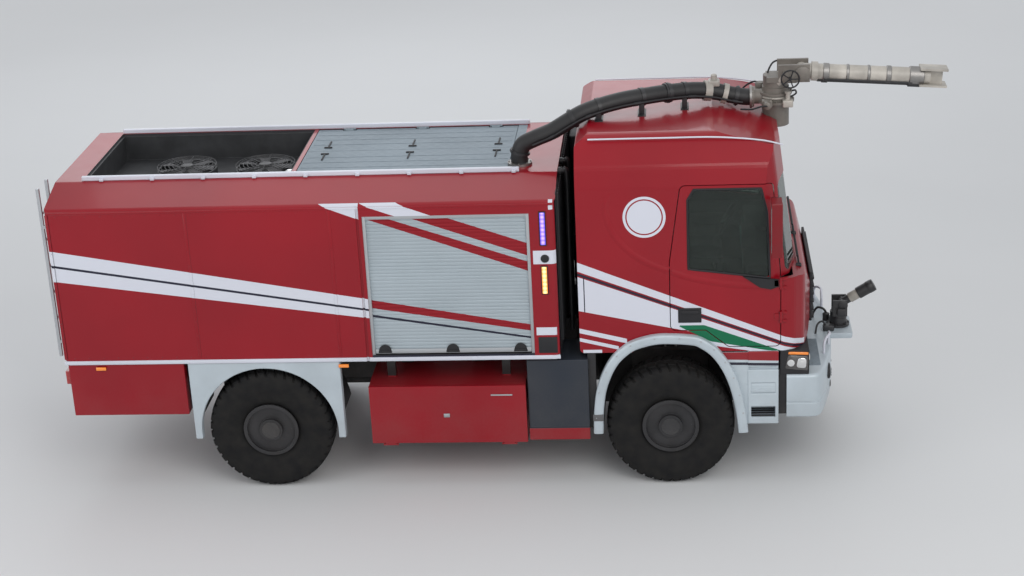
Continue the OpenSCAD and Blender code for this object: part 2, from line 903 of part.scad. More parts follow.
flap_hinge_x = [locker_x0 + 180, locker_x1 - 180];

module flap_pins() {
    w = 50;
    for (x = flap_hinge_x) {
        bar_x(-flap_axis[0], flap_axis[1], 6, x - w - 2, x + w + 2);
        for (s = [-1, 1]) translate([x + s * (w + 13), 0, 0]) {
            bar_x(-flap_axis[0], flap_axis[1], 11, -12, 12);
            block([-12, -flap_axis[0], flap_axis[1] - 11], [12, -locker_out + 90, locker_z]);
        }
    }
}

// Drop-down flap of the right locker, hinged along its lower edge
module locker_flap() {
    w = 50;
    color("firebrick") difference() {
        union() {
            block([locker_x0, -locker_out, locker_z + 4],
                  [locker_x1, -locker_out + flap_t, locker_z + locker_h]);
            for (x = flap_hinge_x) {
                bar_x(-flap_axis[0], flap_axis[1], 11, x - w, x + w);
                block([x - w, -flap_axis[0] - 11, flap_axis[1]], [x + w, -flap_axis[0] + 8, locker_z + 20]);
            }
        }
        for (x = flap_hinge_x) bar_x(-flap_axis[0], flap_axis[1], 6 + run_gap, x - w - cut, x + w + cut);
    }
}

module locker_flap_left() {
    mirror([0, 1, 0]) locker_flap();
}

module locker_flap_right() {
    locker_flap();
}

// Boxes between the lockers and the front wheels, with a skirt below
module side_tanks() {
    skirt = 130;
    color("slategray") both_sides() union() {
        block([tank_x0, -half_body + 40, tank_z], [tank_x1, -tank_in - 20, body_z - 30]);
        block([tank_x0, -half_body + 20, tank_z - skirt], [tank_x1, -half_body + 60, tank_z + 2]);
        block([tank_x0 + 100, -half_body + 300, body_z - 30], [body_x1 - 100, -half_body + 360, body_z]);
    }
}

module rear_fenders() {
    depth = 90;
    color("gainsboro") both_sides() along_y(-half_body + 12, -half_body + 12 + depth) difference() {
        translate([fender_x0, fender_z]) square([fender_x1 - fender_x0, body_z - fender_z]);
        translate([rear_axle_x, axle_z]) circle(r = arch_r, $fn = 64);
        translate([rear_axle_x - arch_r, 0]) square([2 * arch_r, axle_z]);
    }
}

// Boxes behind the rear wheels and the bar across the rear
module rear_underrun() {
    x0 = body_x0 + 30;
    box_d = 400;
    bar_w = 120;
    color("firebrick") {
        both_sides()
            block([x0, -half_body + 15, rail_z - 20], [fender_x0 - 40, -half_body + box_d, body_z]);
        block([x0, -half_body + box_d, rail_z + 20], [x0 + bar_w, half_body - box_d, rail_z + 20 + bar_w]);
    }
}

module rear_ladder() {
    y0 = -half_body + 90;
    w = 280;
    color("silver") union() {
        for (y = [y0, y0 + w]) {
            block([body_x0 - 70, y, body_z + 60], [body_x0 - 40, y + 30, deck_z + 60]);
            for (z = [body_z + 200, side_top - 200]) block([body_x0 - 45, y, z], [body_x0, y + 30, z + 30]);
        }
        for (i = [0:5]) bar_y(body_x0 - 55, body_z + 180 + i * 270, 13, y0 + 15, y0 + w + 15);
    }
}

module tail_lamps() {
    color("darkred") both_sides()
        block([body_x0 - 25, -half_body + 60, body_z - 230], [body_x0 + 30, -half_body + 300, body_z - 90]);
}

// Blue and amber lamp strips on the pillars ahead of the shutters
module warning_lamps() {
    x = body_x1 - 125;
    color("royalblue") both_sides() for (z = [[2540, 2860], [2050, 2320]])
        block([x - 25, -half_body - 14, z[0]], [x + 25, -half_body, z[1]]);
}

function unit(v) = v / norm(v);

// Ring of points about one station of the feed pipe, in the plane across its run
function pipe_ring(p, run, r, sides) = let (u = unit(cross(run, [0, 1, 0])), v = cross(run, u)) [
    for (k = [0:sides - 1]) let (a = 360 * k / sides)
        [front_axle_x, 0, deck_z] + p + r * (cos(a) * u + sin(a) * v)
];

module roof_pipe() {
    sides = 12;
    last = len(pipe_points) - 1;
    points = [
        for (i = [0:last])
            let (run = unit(pipe_points[min(i + 1, last)] - pipe_points[max(i - 1, 0)]))
                each pipe_ring(pipe_points[i], run, feed_d / 2, sides)
    ];
    faces = concat(
        [[for (k = [0:sides - 1]) k]],
        [for (i = [0:last - 1]) for (k = [0:sides - 1]) [
            i * sides + k, (i + 1) * sides + k, (i + 1) * sides + (k + 1) % sides, i * sides + (k + 1) % sides
        ]],
        [[for (k = [sides - 1:-1:0]) last * sides + k]]
    );
    color("dimgray") polyhedron(points = points, faces = faces, convexity = 4);
}

// Turning parts of the roof monitor, about a vertical axis and a trunnion
module roof_monitor_base() {
    inlet = pipe_points[len(pipe_points) - 1];
    inlet_x = front_axle_x + inlet[0];
    inlet_z = deck_z + inlet[2];
    color("dimgray") difference() {
        union() {
            translate([roof_mon_x, 0, roof_z - 220]) cylinder(r = 130, h = roof_pan_z - roof_z + 220);
            bar_x(0, inlet_z, feed_d / 2 - 10, inlet_x, roof_mon_x);
            bar_x(0, inlet_z, feed_d / 2 + 18, inlet_x, inlet_x + 24);
        }
        cab_form(0);
    }
}

module roof_monitor_swivel() {
    cheek = 34;
    inner = barrel_d / 2 + 20;
    color("dimgray") union() {
        translate([roof_mon_x, 0, roof_pan_z + turn_gap]) cylinder(r = 120, h = 110);
        block([roof_mon_x - 90, -inner - cheek, roof_pan_z + 60],
              [roof_mon_x + 110, inner + cheek, roof_pan_z + 110]);
        both_sides() block([roof_mon_x + 20, -inner - cheek, roof_pan_z + 60],
                           [roof_pivot[0] + 70, -inner, roof_pivot[1] + 90]);
    }
}

module roof_monitor_barrel() {
    inner = barrel_d / 2 + 20 - turn_gap;
    tip_drop = 4;
    color("dimgray") translate([roof_pivot[0], 0, roof_pivot[1]]) rotate([0, tip_drop, 0]) union() {
        bar_y(0, 0, 60, -inner, inner);
        bar_x(0, 0, barrel_d / 2, 0, barrel_l - 160);
        bar_x(0, 0, barrel_d / 2 + 18, 90, 150);
        block([barrel_l - 260, -90, -90], [barrel_l, 90, -70]);
        block([barrel_l - 260, -90, 70], [barrel_l, 90, 90]);
        block([barrel_l - 260, -12, -80], [barrel_l - 40, 12, 80]);
    }
}

module bumper_monitor_base() {
    color("dimgray") translate([bump_mon[0], 0, bump_mon[1]]) cylinder(r = 85, h = bump_pan_z - bump_mon[1]);
}

module bumper_monitor_swivel() {
    inner = nozzle_d / 2 + 8;
    cheek = 24;
    color("dimgray") union() {
        translate([bump_mon[0], 0, bump_pan_z + turn_gap]) cylinder(r = 80, h = 60);
        both_sides() block([bump_mon[0] - 60, -inner - cheek, bump_pan_z + 30],
                           [bump_pivot[0] + 45, -inner, bump_pivot[1] + 50]);
    }
}

module bumper_monitor_nozzle() {
    inner = nozzle_d / 2 + 8 - turn_gap;
    color("dimgray") translate([bump_pivot[0], 0, bump_pivot[1]]) rotate([0, -bump_tilt, 0]) union() {
        bar_y(0, 0, 40, -inner, inner);
        bar_x(0, 0, nozzle_d / 2 - 18, 0, 240);
        bar_x(0, 0, nozzle_d / 2, 180, 360);
    }
}

// Rim with its disc and hub, on the right side of an axle
module rim(x) {
    r = rim_d / 2;
    lip = 20;
    in_y = tyre_out - tyre_w + 20;
    out_y = tyre_out - 20;
    disc = 20;
    disc_y = hub_out - 60;
    color("dimgray") translate([x, 0, axle_z]) rotate([90, 0, 0]) rotate_extrude($fn = 64) difference() {
        union() {
            translate([r - rim_wall, in_y]) square([rim_wall, out_y - in_y]);
            for (y = [in_y, out_y - lip]) translate([r - rim_wall, y]) square([rim_wall + lip, lip]);
            translate([0, disc_y]) square([r - rim_wall / 2, disc]);
            translate([0, hub_in]) square([hub_r, hub_out - hub_in]);
        }
        translate([0, hub_in - cut]) square([spindle_d / 2 + run_gap, spindle_end + 5 - hub_in + cut]);
    }
}

// Tyre with grooves across both shoulders of its tread, on the right side of an axle
module tyre(x) {
    r = rim_d / 2;
    in_y = tyre_out - tyre_w;
    out_y = tyre_out;
    shoulder = 60;
    grooves = 20;
    groove_w = 46;
    groove_in = 30;
    half_rib = 40;
    mid = (in_y + out_y) / 2;
    // Half of the section, from the bead out: the columns are radius and distance from the side
    half = [
        [r, 40], [r + 20, 40], [r + 60, 8], [tyre_d / 2 - 150, 0], [tyre_d / 2 - shoulder, 12],
        [tyre_d / 2, 46]
    ];
    last = len(half) - 1;
    outline = concat(
        [for (p = half) [p[0], in_y + p[1]]],
        [for (i = [last:-1:0]) [half[i][0], out_y - half[i][1]]]
    );
    color("dimgray") translate([x, 0, axle_z]) rotate([90, 0, 0]) difference() {
        rotate_extrude($fn = 40) polygon(outline);
        for (i = [0:grooves - 1]) for (side = [0, 1])
            rotate([0, 0, 360 * (i + side / 2) / grooves])
                block([tyre_d / 2 - groove_in, -groove_w / 2, side == 0 ? in_y - cut : mid + half_rib],
                      [tyre_d / 2 + cut, groove_w / 2, side == 0 ? mid - half_rib : out_y + cut]);
    }
}

module rim_front_left() { mirror([0, 1, 0]) rim(front_axle_x); }
module rim_front_right() { rim(front_axle_x); }
module rim_rear_left() { mirror([0, 1, 0]) rim(rear_axle_x); }
module rim_rear_right() { rim(rear_axle_x); }
module tyre_front_left() { mirror([0, 1, 0]) tyre(front_axle_x); }
module tyre_front_right() { tyre(front_axle_x); }
module tyre_rear_left() { mirror([0, 1, 0]) tyre(rear_axle_x); }
module tyre_rear_right() { tyre(rear_axle_x); }

chassis_frame();
cross_members();
body_bearers();
engine_block();
front_axle();
rear_axle();
suspension();
driveline();
cab_shell();
windscreen();
front_grille();
front_bumper();
headlamps();
cab_steps();
front_arches();
dashboard();
seats();
mirror_left();
mirror_right();
body_shell();
roller_shutters();
roof_deck();
roof_rails();
engine_well();
side_lockers();
side_tanks();
rear_fenders();
rear_underrun();
rear_ladder();
tail_lamps();
warning_lamps();
roof_pipe();
roof_monitor_base();
roof_monitor_swivel();
roof_monitor_barrel();
bumper_monitor_base();
bumper_monitor_swivel();
bumper_monitor_nozzle();
cab_door_left();
cab_door_right();
door_glass_left();
door_glass_right();
roof_lid_left();
roof_lid_right();
locker_flap_left();
locker_flap_right();
knuckle_left();
knuckle_right();
rim_front_left();
rim_front_right();
rim_rear_left();
rim_rear_right();
tyre_front_left();
tyre_front_right();
tyre_rear_left();
tyre_rear_right();
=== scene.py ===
"""Looks of an airport fire truck: paint, glass, tyres, seats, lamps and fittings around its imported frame."""

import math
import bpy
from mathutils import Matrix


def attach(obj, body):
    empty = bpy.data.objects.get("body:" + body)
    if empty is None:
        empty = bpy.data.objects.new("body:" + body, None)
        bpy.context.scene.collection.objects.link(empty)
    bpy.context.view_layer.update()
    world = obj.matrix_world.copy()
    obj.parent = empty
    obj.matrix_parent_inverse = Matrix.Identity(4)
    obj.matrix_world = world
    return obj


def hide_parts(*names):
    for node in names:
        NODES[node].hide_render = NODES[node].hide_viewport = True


bl_info = {
    "name": "Airport fire truck",
    "version": (1, 0, 0),
    "blender": (4, 5, 0),
    "location": "3D View > Sidebar > Fire truck",
    "description": "Dresses the frame of an airport fire truck and sets up its studio",
    "category": "Object",
}

import bpy
import numpy as np
from mathutils import Matrix, Vector

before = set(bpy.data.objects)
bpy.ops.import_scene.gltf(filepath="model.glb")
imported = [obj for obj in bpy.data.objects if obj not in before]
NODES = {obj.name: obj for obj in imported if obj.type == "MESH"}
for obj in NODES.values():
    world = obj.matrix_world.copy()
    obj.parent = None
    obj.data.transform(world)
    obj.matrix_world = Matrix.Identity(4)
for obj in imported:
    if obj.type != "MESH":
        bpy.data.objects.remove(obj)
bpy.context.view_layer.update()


# Settings


def colour(name, description, default):
    return bpy.props.FloatVectorProperty(
        name=name, description=description, default=default, size=3, min=0, max=1, subtype="COLOR"
    )


def length(name, description, default):
    return bpy.props.FloatProperty(
        name=name, description=description, default=default, min=0, unit="LENGTH", precision=4
    )


def rotation(name, description, degrees):
    return bpy.props.FloatProperty(
        name=name, description=description, default=math.radians(degrees), subtype="ANGLE", precision=3
    )


class PaintSettings(bpy.types.PropertyGroup):
    red: colour("Red", "Body and cab paint", (0.275, 0.003, 0.011))
    white: colour("White", "Stripes, rails and trim", (0.64, 0.66, 0.74))
    navy: colour("Navy", "Thin lines beside the stripes", (0.012, 0.012, 0.03))
    green: colour("Green", "Wedge on the cab's side", (0.0, 0.14, 0.06))
    silver: colour("Silver", "Roller shutters", (0.4, 0.46, 0.5))
    panel: colour("Light panels", "Wheel arches, steps and bumper", (0.5, 0.57, 0.62))
    chassis: colour("Chassis", "Frame, axles and springs", (0.02, 0.021, 0.023))
    deck: colour("Roof deck", "Tread plate on the body's roof", (0.24, 0.29, 0.33))
    tank: colour("Side boxes", "Boxes ahead of the lockers", (0.022, 0.029, 0.042))


class TyreSettings(bpy.types.PropertyGroup):
    blocks: bpy.props.IntProperty(
        name="Blocks", description="Tread blocks round one tyre", default=40, min=20, max=80
    )
    groove: length("Groove depth", "Depth of the grooves between the blocks", 0.016)
    bar: length("Groove width", "Width of the grooves between the blocks", 0.022)


class SeatSettings(bpy.types.PropertyGroup):
    voxel: length("Voxel", "Mesh size of the cushions before they are inflated", 0.008)
    pressure: bpy.props.FloatProperty(
        name="Pressure", description="Cloth pressure in the cushions", default=4.0, min=0, max=20
    )
    cap: length("Most swell", "Most that a point of a cushion may move", 0.02)


class StageSettings(bpy.types.PropertyGroup):
    place: bpy.props.FloatVectorProperty(
        name="Camera", description="Place of the camera", default=(1.784, -18.178, 8.853), size=3, unit="LENGTH"
    )
    yaw: rotation("Yaw", "Turn of the photograph's view to the right of the Y axis", 4.7)
    pitch: rotation("Pitch", "Tilt of the photograph's view below the horizon", 15.53)
    roll: rotation("Roll", "Turn of the photograph's view about its own axis", 0.29)
    aim: bpy.props.FloatVectorProperty(
        name="Aim", description="Point that the camera is then turned to", default=(
            0.05, 0.0, 1.6
        ), size=3, unit="LENGTH"
    )
    lens: bpy.props.FloatProperty(
        name="Focal length", description="Focal length of the camera", default=68.0, min=10, subtype="DISTANCE_CAMERA"
    )
    floor: colour("Floor", "Floor and background", (0.7, 0.71, 0.72))
    sky: bpy.props.FloatProperty(
        name="Background level", description="Level of the background that camera, metal and glass see",
        default=0.72, min=0, max=1, subtype="FACTOR",
    )
    light: bpy.props.FloatProperty(
        name="Soft light", description="Level of the world's light on the truck", default=0.56, min=0, max=2
    )


# Shapes
# A shape is three arrays: its points, the point numbers of its faces one after
# the other, and the number of corners of each face.


def outward(shape):
    """Turns a closed shape's faces outwards. The volume is the sum over the corners of each face of the
    scalar triple product of the face's first corner and each pair of neighbours, and it must be positive."""
    points, loops, sizes = shape
    starts = np.concatenate([[0], np.cumsum(sizes)[:-1]])
    first = np.repeat(loops[starts], sizes)
    following = np.roll(loops, -1)
    following[starts + sizes - 1] = loops[starts]
    a, b, c = points[first], points[loops], points[following]
    if np.einsum("ij,ij->i", a, np.cross(b, c)).sum() < 0:
        return points, loops[::-1].copy(), sizes[::-1].copy()
    return shape


def grid(points, around=True, along=False, caps=True):
    """Quads between the neighbours of a grid of points with shape (rows, columns, 3). around closes each row
    on itself, along joins the last row to the first, and caps puts one face on the first and the last row."""
    points = np.asarray(points, float)
    rows, columns = points.shape[:2]
    i = np.arange(rows if along else rows - 1)[:, None]
    j = np.arange(columns if around else columns - 1)[None, :]
    below, above = i * columns, (i + 1) % rows * columns
    right = (j + 1) % columns
    quads = np.stack([below + j, below + right, above + right, above + j], -1).reshape(-1, 4)
    loops, sizes = quads.ravel(), np.full(len(quads), 4)
    if caps and around and not along:
        ring = np.arange(columns)
        loops = np.concatenate([loops, ring[::-1], (rows - 1) * columns + ring])
        sizes = np.concatenate([sizes, [columns, columns]])
    shape = points.reshape(-1, 3), loops, sizes
    return outward(shape) if around and (along or caps) else shape


def together(*shapes):
    """One shape from several, each keeping its own faces."""
    offsets = np.cumsum([0] + [len(s[0]) for s in shapes[:-1]])
    return (
        np.concatenate([s[0] for s in shapes]),
        np.concatenate([s[1] + o for s, o in zip(shapes, offsets)]),
        np.concatenate([s[2] for s in shapes]),
    )


def at_places(shape, places):
    """A copy of a shape at each place: every point plus every place, as one array."""
    points, loops, sizes = shape
    places = np.asarray(places, float).reshape(-1, 3)
    count = len(places)
    copies = (points[None] + places[:, None]).reshape(-1, 3)
    faces = (loops[None] + len(points) * np.arange(count)[:, None]).ravel()
    return copies, faces, np.tile(sizes, count)


def moved(shape, step):
    return shape[0] + np.asarray(step, float), shape[1], shape[2]


def mirrored(shape):
    """The shape on the other side of the middle plane, with its faces turned back outwards."""
    points, loops, sizes = shape
    return points * (1, -1, 1), loops[::-1].copy(), sizes[::-1].copy()


def both(*shapes):
    """The shapes and their mirror images, as one shape."""
    shape = together(*shapes)
    return together(shape, mirrored(shape))


def turned(shape, axis, degrees, about=(0, 0, 0)):
    """The shape turned about a line along X, Y or Z through a point, by the usual rotation matrix."""
    points, loops, sizes = shape
    a, k = math.radians(degrees), "XYZ".index(axis)
    i, j = (k + 1) % 3, (k + 2) % 3
    matrix = np.eye(3)
    matrix[i, i] = matrix[j, j] = math.cos(a)
    matrix[i, j], matrix[j, i] = -math.sin(a), math.sin(a)
    about = np.asarray(about, float)
    return (points - about) @ matrix.T + about, loops, sizes


def turns_about(shape, axis, angles, about=(0, 0, 0)):
    return together(*[turned(shape, axis, a, about) for a in angles])


def lathe(profile, centre, axis="Z", sides=32):
    """A profile of (radius, distance along the axis) carried round an axis: each point runs on its own circle."""
    profile = np.asarray(profile, float)
    angle = np.linspace(0, 2 * math.pi, sides, endpoint=False)
    radius, height = profile[:, :1], profile[:, 1:]
    k = "XYZ".index(axis)
    points = np.empty((len(profile), sides, 3))
    points[..., k] = height
    points[..., (k + 1) % 3] = radius * np.cos(angle)
    points[..., (k + 2) % 3] = radius * np.sin(angle)
    return grid(points + np.asarray(centre, float))


def ring(radius, thickness, centre, axis="Z", sides=48, across=10):
    """A torus: a circle of the given thickness carried round a circle of the given radius."""
    u = np.linspace(0, 2 * math.pi, sides, endpoint=False)[:, None]
    v = np.linspace(0, 2 * math.pi, across, endpoint=False)[None]
    k = "XYZ".index(axis)
    points = np.empty((sides, across, 3))
    points[..., k] = thickness * np.sin(v)
    points[..., (k + 1) % 3] = (radius + thickness * np.cos(v)) * np.cos(u)
    points[..., (k + 2) % 3] = (radius + thickness * np.cos(v)) * np.sin(u)
    return grid(points + np.asarray(centre, float), along=True, caps=False)


def smooth_path(points, count):
    """Stations at even steps on a curve through the points, each span a cubic with its neighbours' mean slopes."""
    p = np.asarray(points, float)
    slope = np.gradient(p, axis=0)
    t = np.linspace(0, len(p) - 1, count)
    i = np.minimum(t.astype(int), len(p) - 2)
    t = (t - i)[:, None]
    a, b, m, n = p[i], p[i + 1], slope[i], slope[i + 1]
    return (2 * t**3 - 3 * t**2 + 1) * a + (t**3 - 2 * t**2 + t) * m + (3 * t**2 - 2 * t**3) * b + (t**3 - t**2) * n


def tube(path, radius, sides=12, toward=(0, 1, 0), closed=False):
    """A circle of the given radius (a number, or one for each station) carried along a path. Each circle stands
    across the path's direction, which is the difference of the neighbouring stations."""
    path = np.asarray(path, float)
    run = np.roll(path, -1, 0) - np.roll(path, 1, 0) if closed else np.gradient(path, axis=0)
    run /= np.linalg.norm(run, axis=1)[:, None]
    first = np.cross(run, toward)
    first /= np.linalg.norm(first, axis=1)[:, None]
    second = np.cross(run, first)
    angle = np.linspace(0, 2 * math.pi, sides, endpoint=False)[None, :, None]
    radius = np.broadcast_to(radius, len(path))[:, None, None]
    points = path[:, None] + radius * (np.cos(angle) * first[:, None] + np.sin(angle) * second[:, None])
    return grid(points, along=closed, caps=not closed)


def bent_tube(points, count, radius, sides=12, toward=(0, 1, 0)):
    """A tube along the smooth path through the points."""
    return tube(smooth_path(points, count), radius, sides, toward)


def sweep(line, section, toward, axis="Y"):
    """A section carried along a line in the plane across an axis. The section's columns are the distance across
    the line, towards a point in that plane, and the place along the axis."""
    line = np.asarray(line, float)
    run = np.gradient(line, axis=0)
    across = np.stack([-run[:, 1], run[:, 0]], -1) / np.linalg.norm(run, axis=1)[:, None]
    across *= np.sign(((np.asarray(toward) - line) * across).sum(1))[:, None]
    section = np.asarray(section, float)
    flat = line[:, None] + across[:, None] * section[None, :, :1]
    level = np.broadcast_to(section[:, 1], flat.shape[:2])
    columns = [flat[..., 0], flat[..., 1]]
    columns.insert("XYZ".index(axis), level)
    return grid(np.stack(columns, -1))


def rounded(width, depth, corner, steps=4):
    """Points round a rectangle about the origin whose corners are quarter circles."""
    corner = min(corner, width / 2, depth / 2)
    angle = np.linspace(0, math.pi / 2, steps)
    arcs = []
    for k, (sx, sy) in enumerate(((1, 1), (-1, 1), (-1, -1), (1, -1))):
        a = angle + k * math.pi / 2
        arcs.append(
            np.stack(
                [sx * (width / 2 - corner) + corner * np.cos(a), sy * (depth / 2 - corner) + corner * np.sin(a)], -1
            )
        )
    return np.concatenate(arcs)


def smooth_corners(corners, reach, steps=5):
    """An outline whose corners are parabolas: each runs from a point before the corner to one after it, both a
    reach away, as (1-t)^2 a + 2t(1-t) corner + t^2 b."""
    corners = np.asarray(corners, float)
    before, after = np.roll(corners, 1, 0) - corners, np.roll(corners, -1, 0) - corners
    a = corners + reach * before / np.linalg.norm(before, axis=1)[:, None]
    b = corners + reach * after / np.linalg.norm(after, axis=1)[:, None]
    t = np.linspace(0, 1, steps)[None, :, None]
    return ((1 - t) ** 2 * a[:, None] + 2 * t * (1 - t) * corners[:, None] + t**2 * b[:, None]).reshape(-1, 2)


def block(low, high, edge=0.004, corner=None):
    """A box with rounded edges: a rounded rectangle carried upwards, drawn in by a quarter circle at both ends."""
    low, high = np.asarray(low, float), np.asarray(high, float)
    low, high = np.minimum(low, high), np.maximum(low, high)
    size, middle = high - low, (low + high) / 2
    edge = min(edge, size.min() / 2.01)
    corner = max(edge, corner or edge)
    angle = np.linspace(0, math.pi / 2, 3)
    inset = np.concatenate([edge * (1 - np.sin(angle)), edge * (1 - np.cos(angle))])
    height = np.concatenate([edge * (1 - np.cos(angle)), size[2] - edge * (1 - np.sin(angle))])
    rings = np.stack([rounded(size[0] - 2 * d, size[1] - 2 * d, max(corner - d, 0.0005)) for d in inset])
    points = np.empty(rings.shape[:2] + (3,))
    points[..., :2] = rings + middle[:2]
    points[..., 2] = low[2] + height[:, None]
    return grid(points)


def plate(outline, low, high, axis="Y", edge=0.003):
    """An outline in the plane across an axis, carried along it and drawn towards its middle by a chamfer at
    both ends. For Y the outline's columns are X and Z, for X they are Y and Z, and for Z they are X and Y."""
    outline = np.asarray(outline, float)
    k = "XYZ".index(axis)
    i, j = [n for n in range(3) if n != k]
    ahead = np.roll(outline, -1, 0) - outline
    ahead /= np.linalg.norm(ahead, axis=1)[:, None]
    side = np.stack([-ahead[:, 1], ahead[:, 0]], -1)
    both_sides = side + np.roll(side, 1, 0)
    both_sides /= np.maximum((both_sides * side).sum(1), 0.3)[:, None]
    area = (outline[:, 0] * np.roll(outline[:, 1], -1) - outline[:, 1] * np.roll(outline[:, 0], -1)).sum()
    drawn = outline + np.sign(area) * edge * both_sides
    points = np.empty((4, len(outline), 3))
    for row, (line, level) in enumerate(
        ((drawn, low), (outline, low + edge), (outline, high - edge), (drawn, high))
    ):
        points[row, :, i], points[row, :, j], points[row, :, k] = line[:, 0], line[:, 1], level
    return grid(points)


def bolt(size, height, axis, way=1):
    """A hexagon head on a washer, as a lathe with six sides on one with twelve. It points up or down its axis."""
    rise = height * way
    washer = lathe([(size, 0), (size, 0.18 * rise), (0.8 * size, 0.22 * rise)], (0, 0, 0), axis, 12)
    head = lathe([(0.72 * size, 0), (0.72 * size, 0.8 * rise), (0.5 * size, rise)], (0, 0, 0), axis, 6)
    return together(washer, head)


# Pieces

# The record's slots, each with the finishes that take it when a piece names no other slot
SLOTS = {
    "black_plastic": ("black", "grey", "screen"),
    "white_paint": ("white",),
    "red_paint": ("cab", "body"),
    "light_panel": ("panel", "steps"),
    "bare_aluminium": ("bare", "deck", "rear", "shutter", "chrome"),
    "frame_paint": ("frame",),
    "rim_paint": ("hub", "rim"),
    "tyre_rubber": ("tyre",),
    "monitor_black": ("dark", "pale", "monitor", "hose", "steel"),
    "window_glass": ("bright", "smoked", "mirror"),
    "lamp_red": ("amber", "tail"),
    "seat_cloth": ("cloth",),
}
USUAL_SLOT = {finish: slot for slot, keys in SLOTS.items() for finish in keys}


def piece(name, shape, finish, body="root", smooth=40, slot=None, instead_of=()):
    """Makes a mesh object of a shape, or of a list of shapes as one. It gets the finish, rides on a body, and has
    sharp edges where its faces meet at more degrees than smooth."""
    points, loops, sizes = together(*shape) if isinstance(shape, list) else shape
    slot = slot or USUAL_SLOT[finish]
    mesh = bpy.data.meshes.new(name)
    mesh.vertices.add(len(points))
    mesh.vertices.foreach_set("co", points.astype(np.float32).ravel())
    mesh.loops.add(len(loops))
    mesh.loops.foreach_set("vertex_index", loops.astype(np.int32))
    mesh.polygons.add(len(sizes))
    starts = np.concatenate([[0], np.cumsum(sizes)[:-1]]).astype(np.int32)
    mesh.polygons.foreach_set("loop_start", starts)
    mesh.update(calc_edges=True)
    mesh.validate()
    obj = bpy.data.objects.new(name, mesh)
    bpy.context.scene.collection.objects.link(obj)
    mesh.materials.append(finishes()[finish])
    mesh.polygons.foreach_set("use_smooth", np.ones(len(mesh.polygons), bool))
    if smooth:
        mesh.set_sharp_from_angle(angle=math.radians(smooth))
    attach(obj, body)
    if instead_of:
        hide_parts(*instead_of)
    return obj


def dress(finish, *names, edge=0.005):
    """Gives CAD nodes a finish, and rounds their sharp edges with modifiers. The mesh itself stays as it is."""
    for name in names:
        node = NODES[name]
        for slot in node.material_slots:
            slot.material = finishes()[finish]
        weld = node.modifiers.new("weld", "WELD")
        weld.merge_threshold = 0.0001
        flat = node.modifiers.new("flat", "DECIMATE")
        flat.decimate_type, flat.angle_limit = "DISSOLVE", math.radians(0.6)
        edges = node.modifiers.new("edges", "BEVEL")
        edges.width, edges.segments, edges.limit_method = edge, 2, "ANGLE"
        edges.angle_limit, edges.use_clamp_overlap = math.radians(28), True
        shade = node.modifiers.new("shade", "WEIGHTED_NORMAL")
        shade.keep_sharp = True


# Finishes

DUST = (0.19, 0.17, 0.15)
# Middle of the cab's blank roundel in X and Z, and its discs from the largest to the smallest
ROUNDEL = (1.43, 2.76)
ROUNDEL_DISCS = ((0.2, "white"), (0.175, "red"), (0.162, "white"))


def paint(name):
    return tuple(getattr(bpy.context.scene.truck_paint, name))


def scaled(hue, factor, plus=0.0):
    """A colour with each part times a factor, plus a little."""
    return tuple(min(1.0, factor * part + plus) for part in hue)


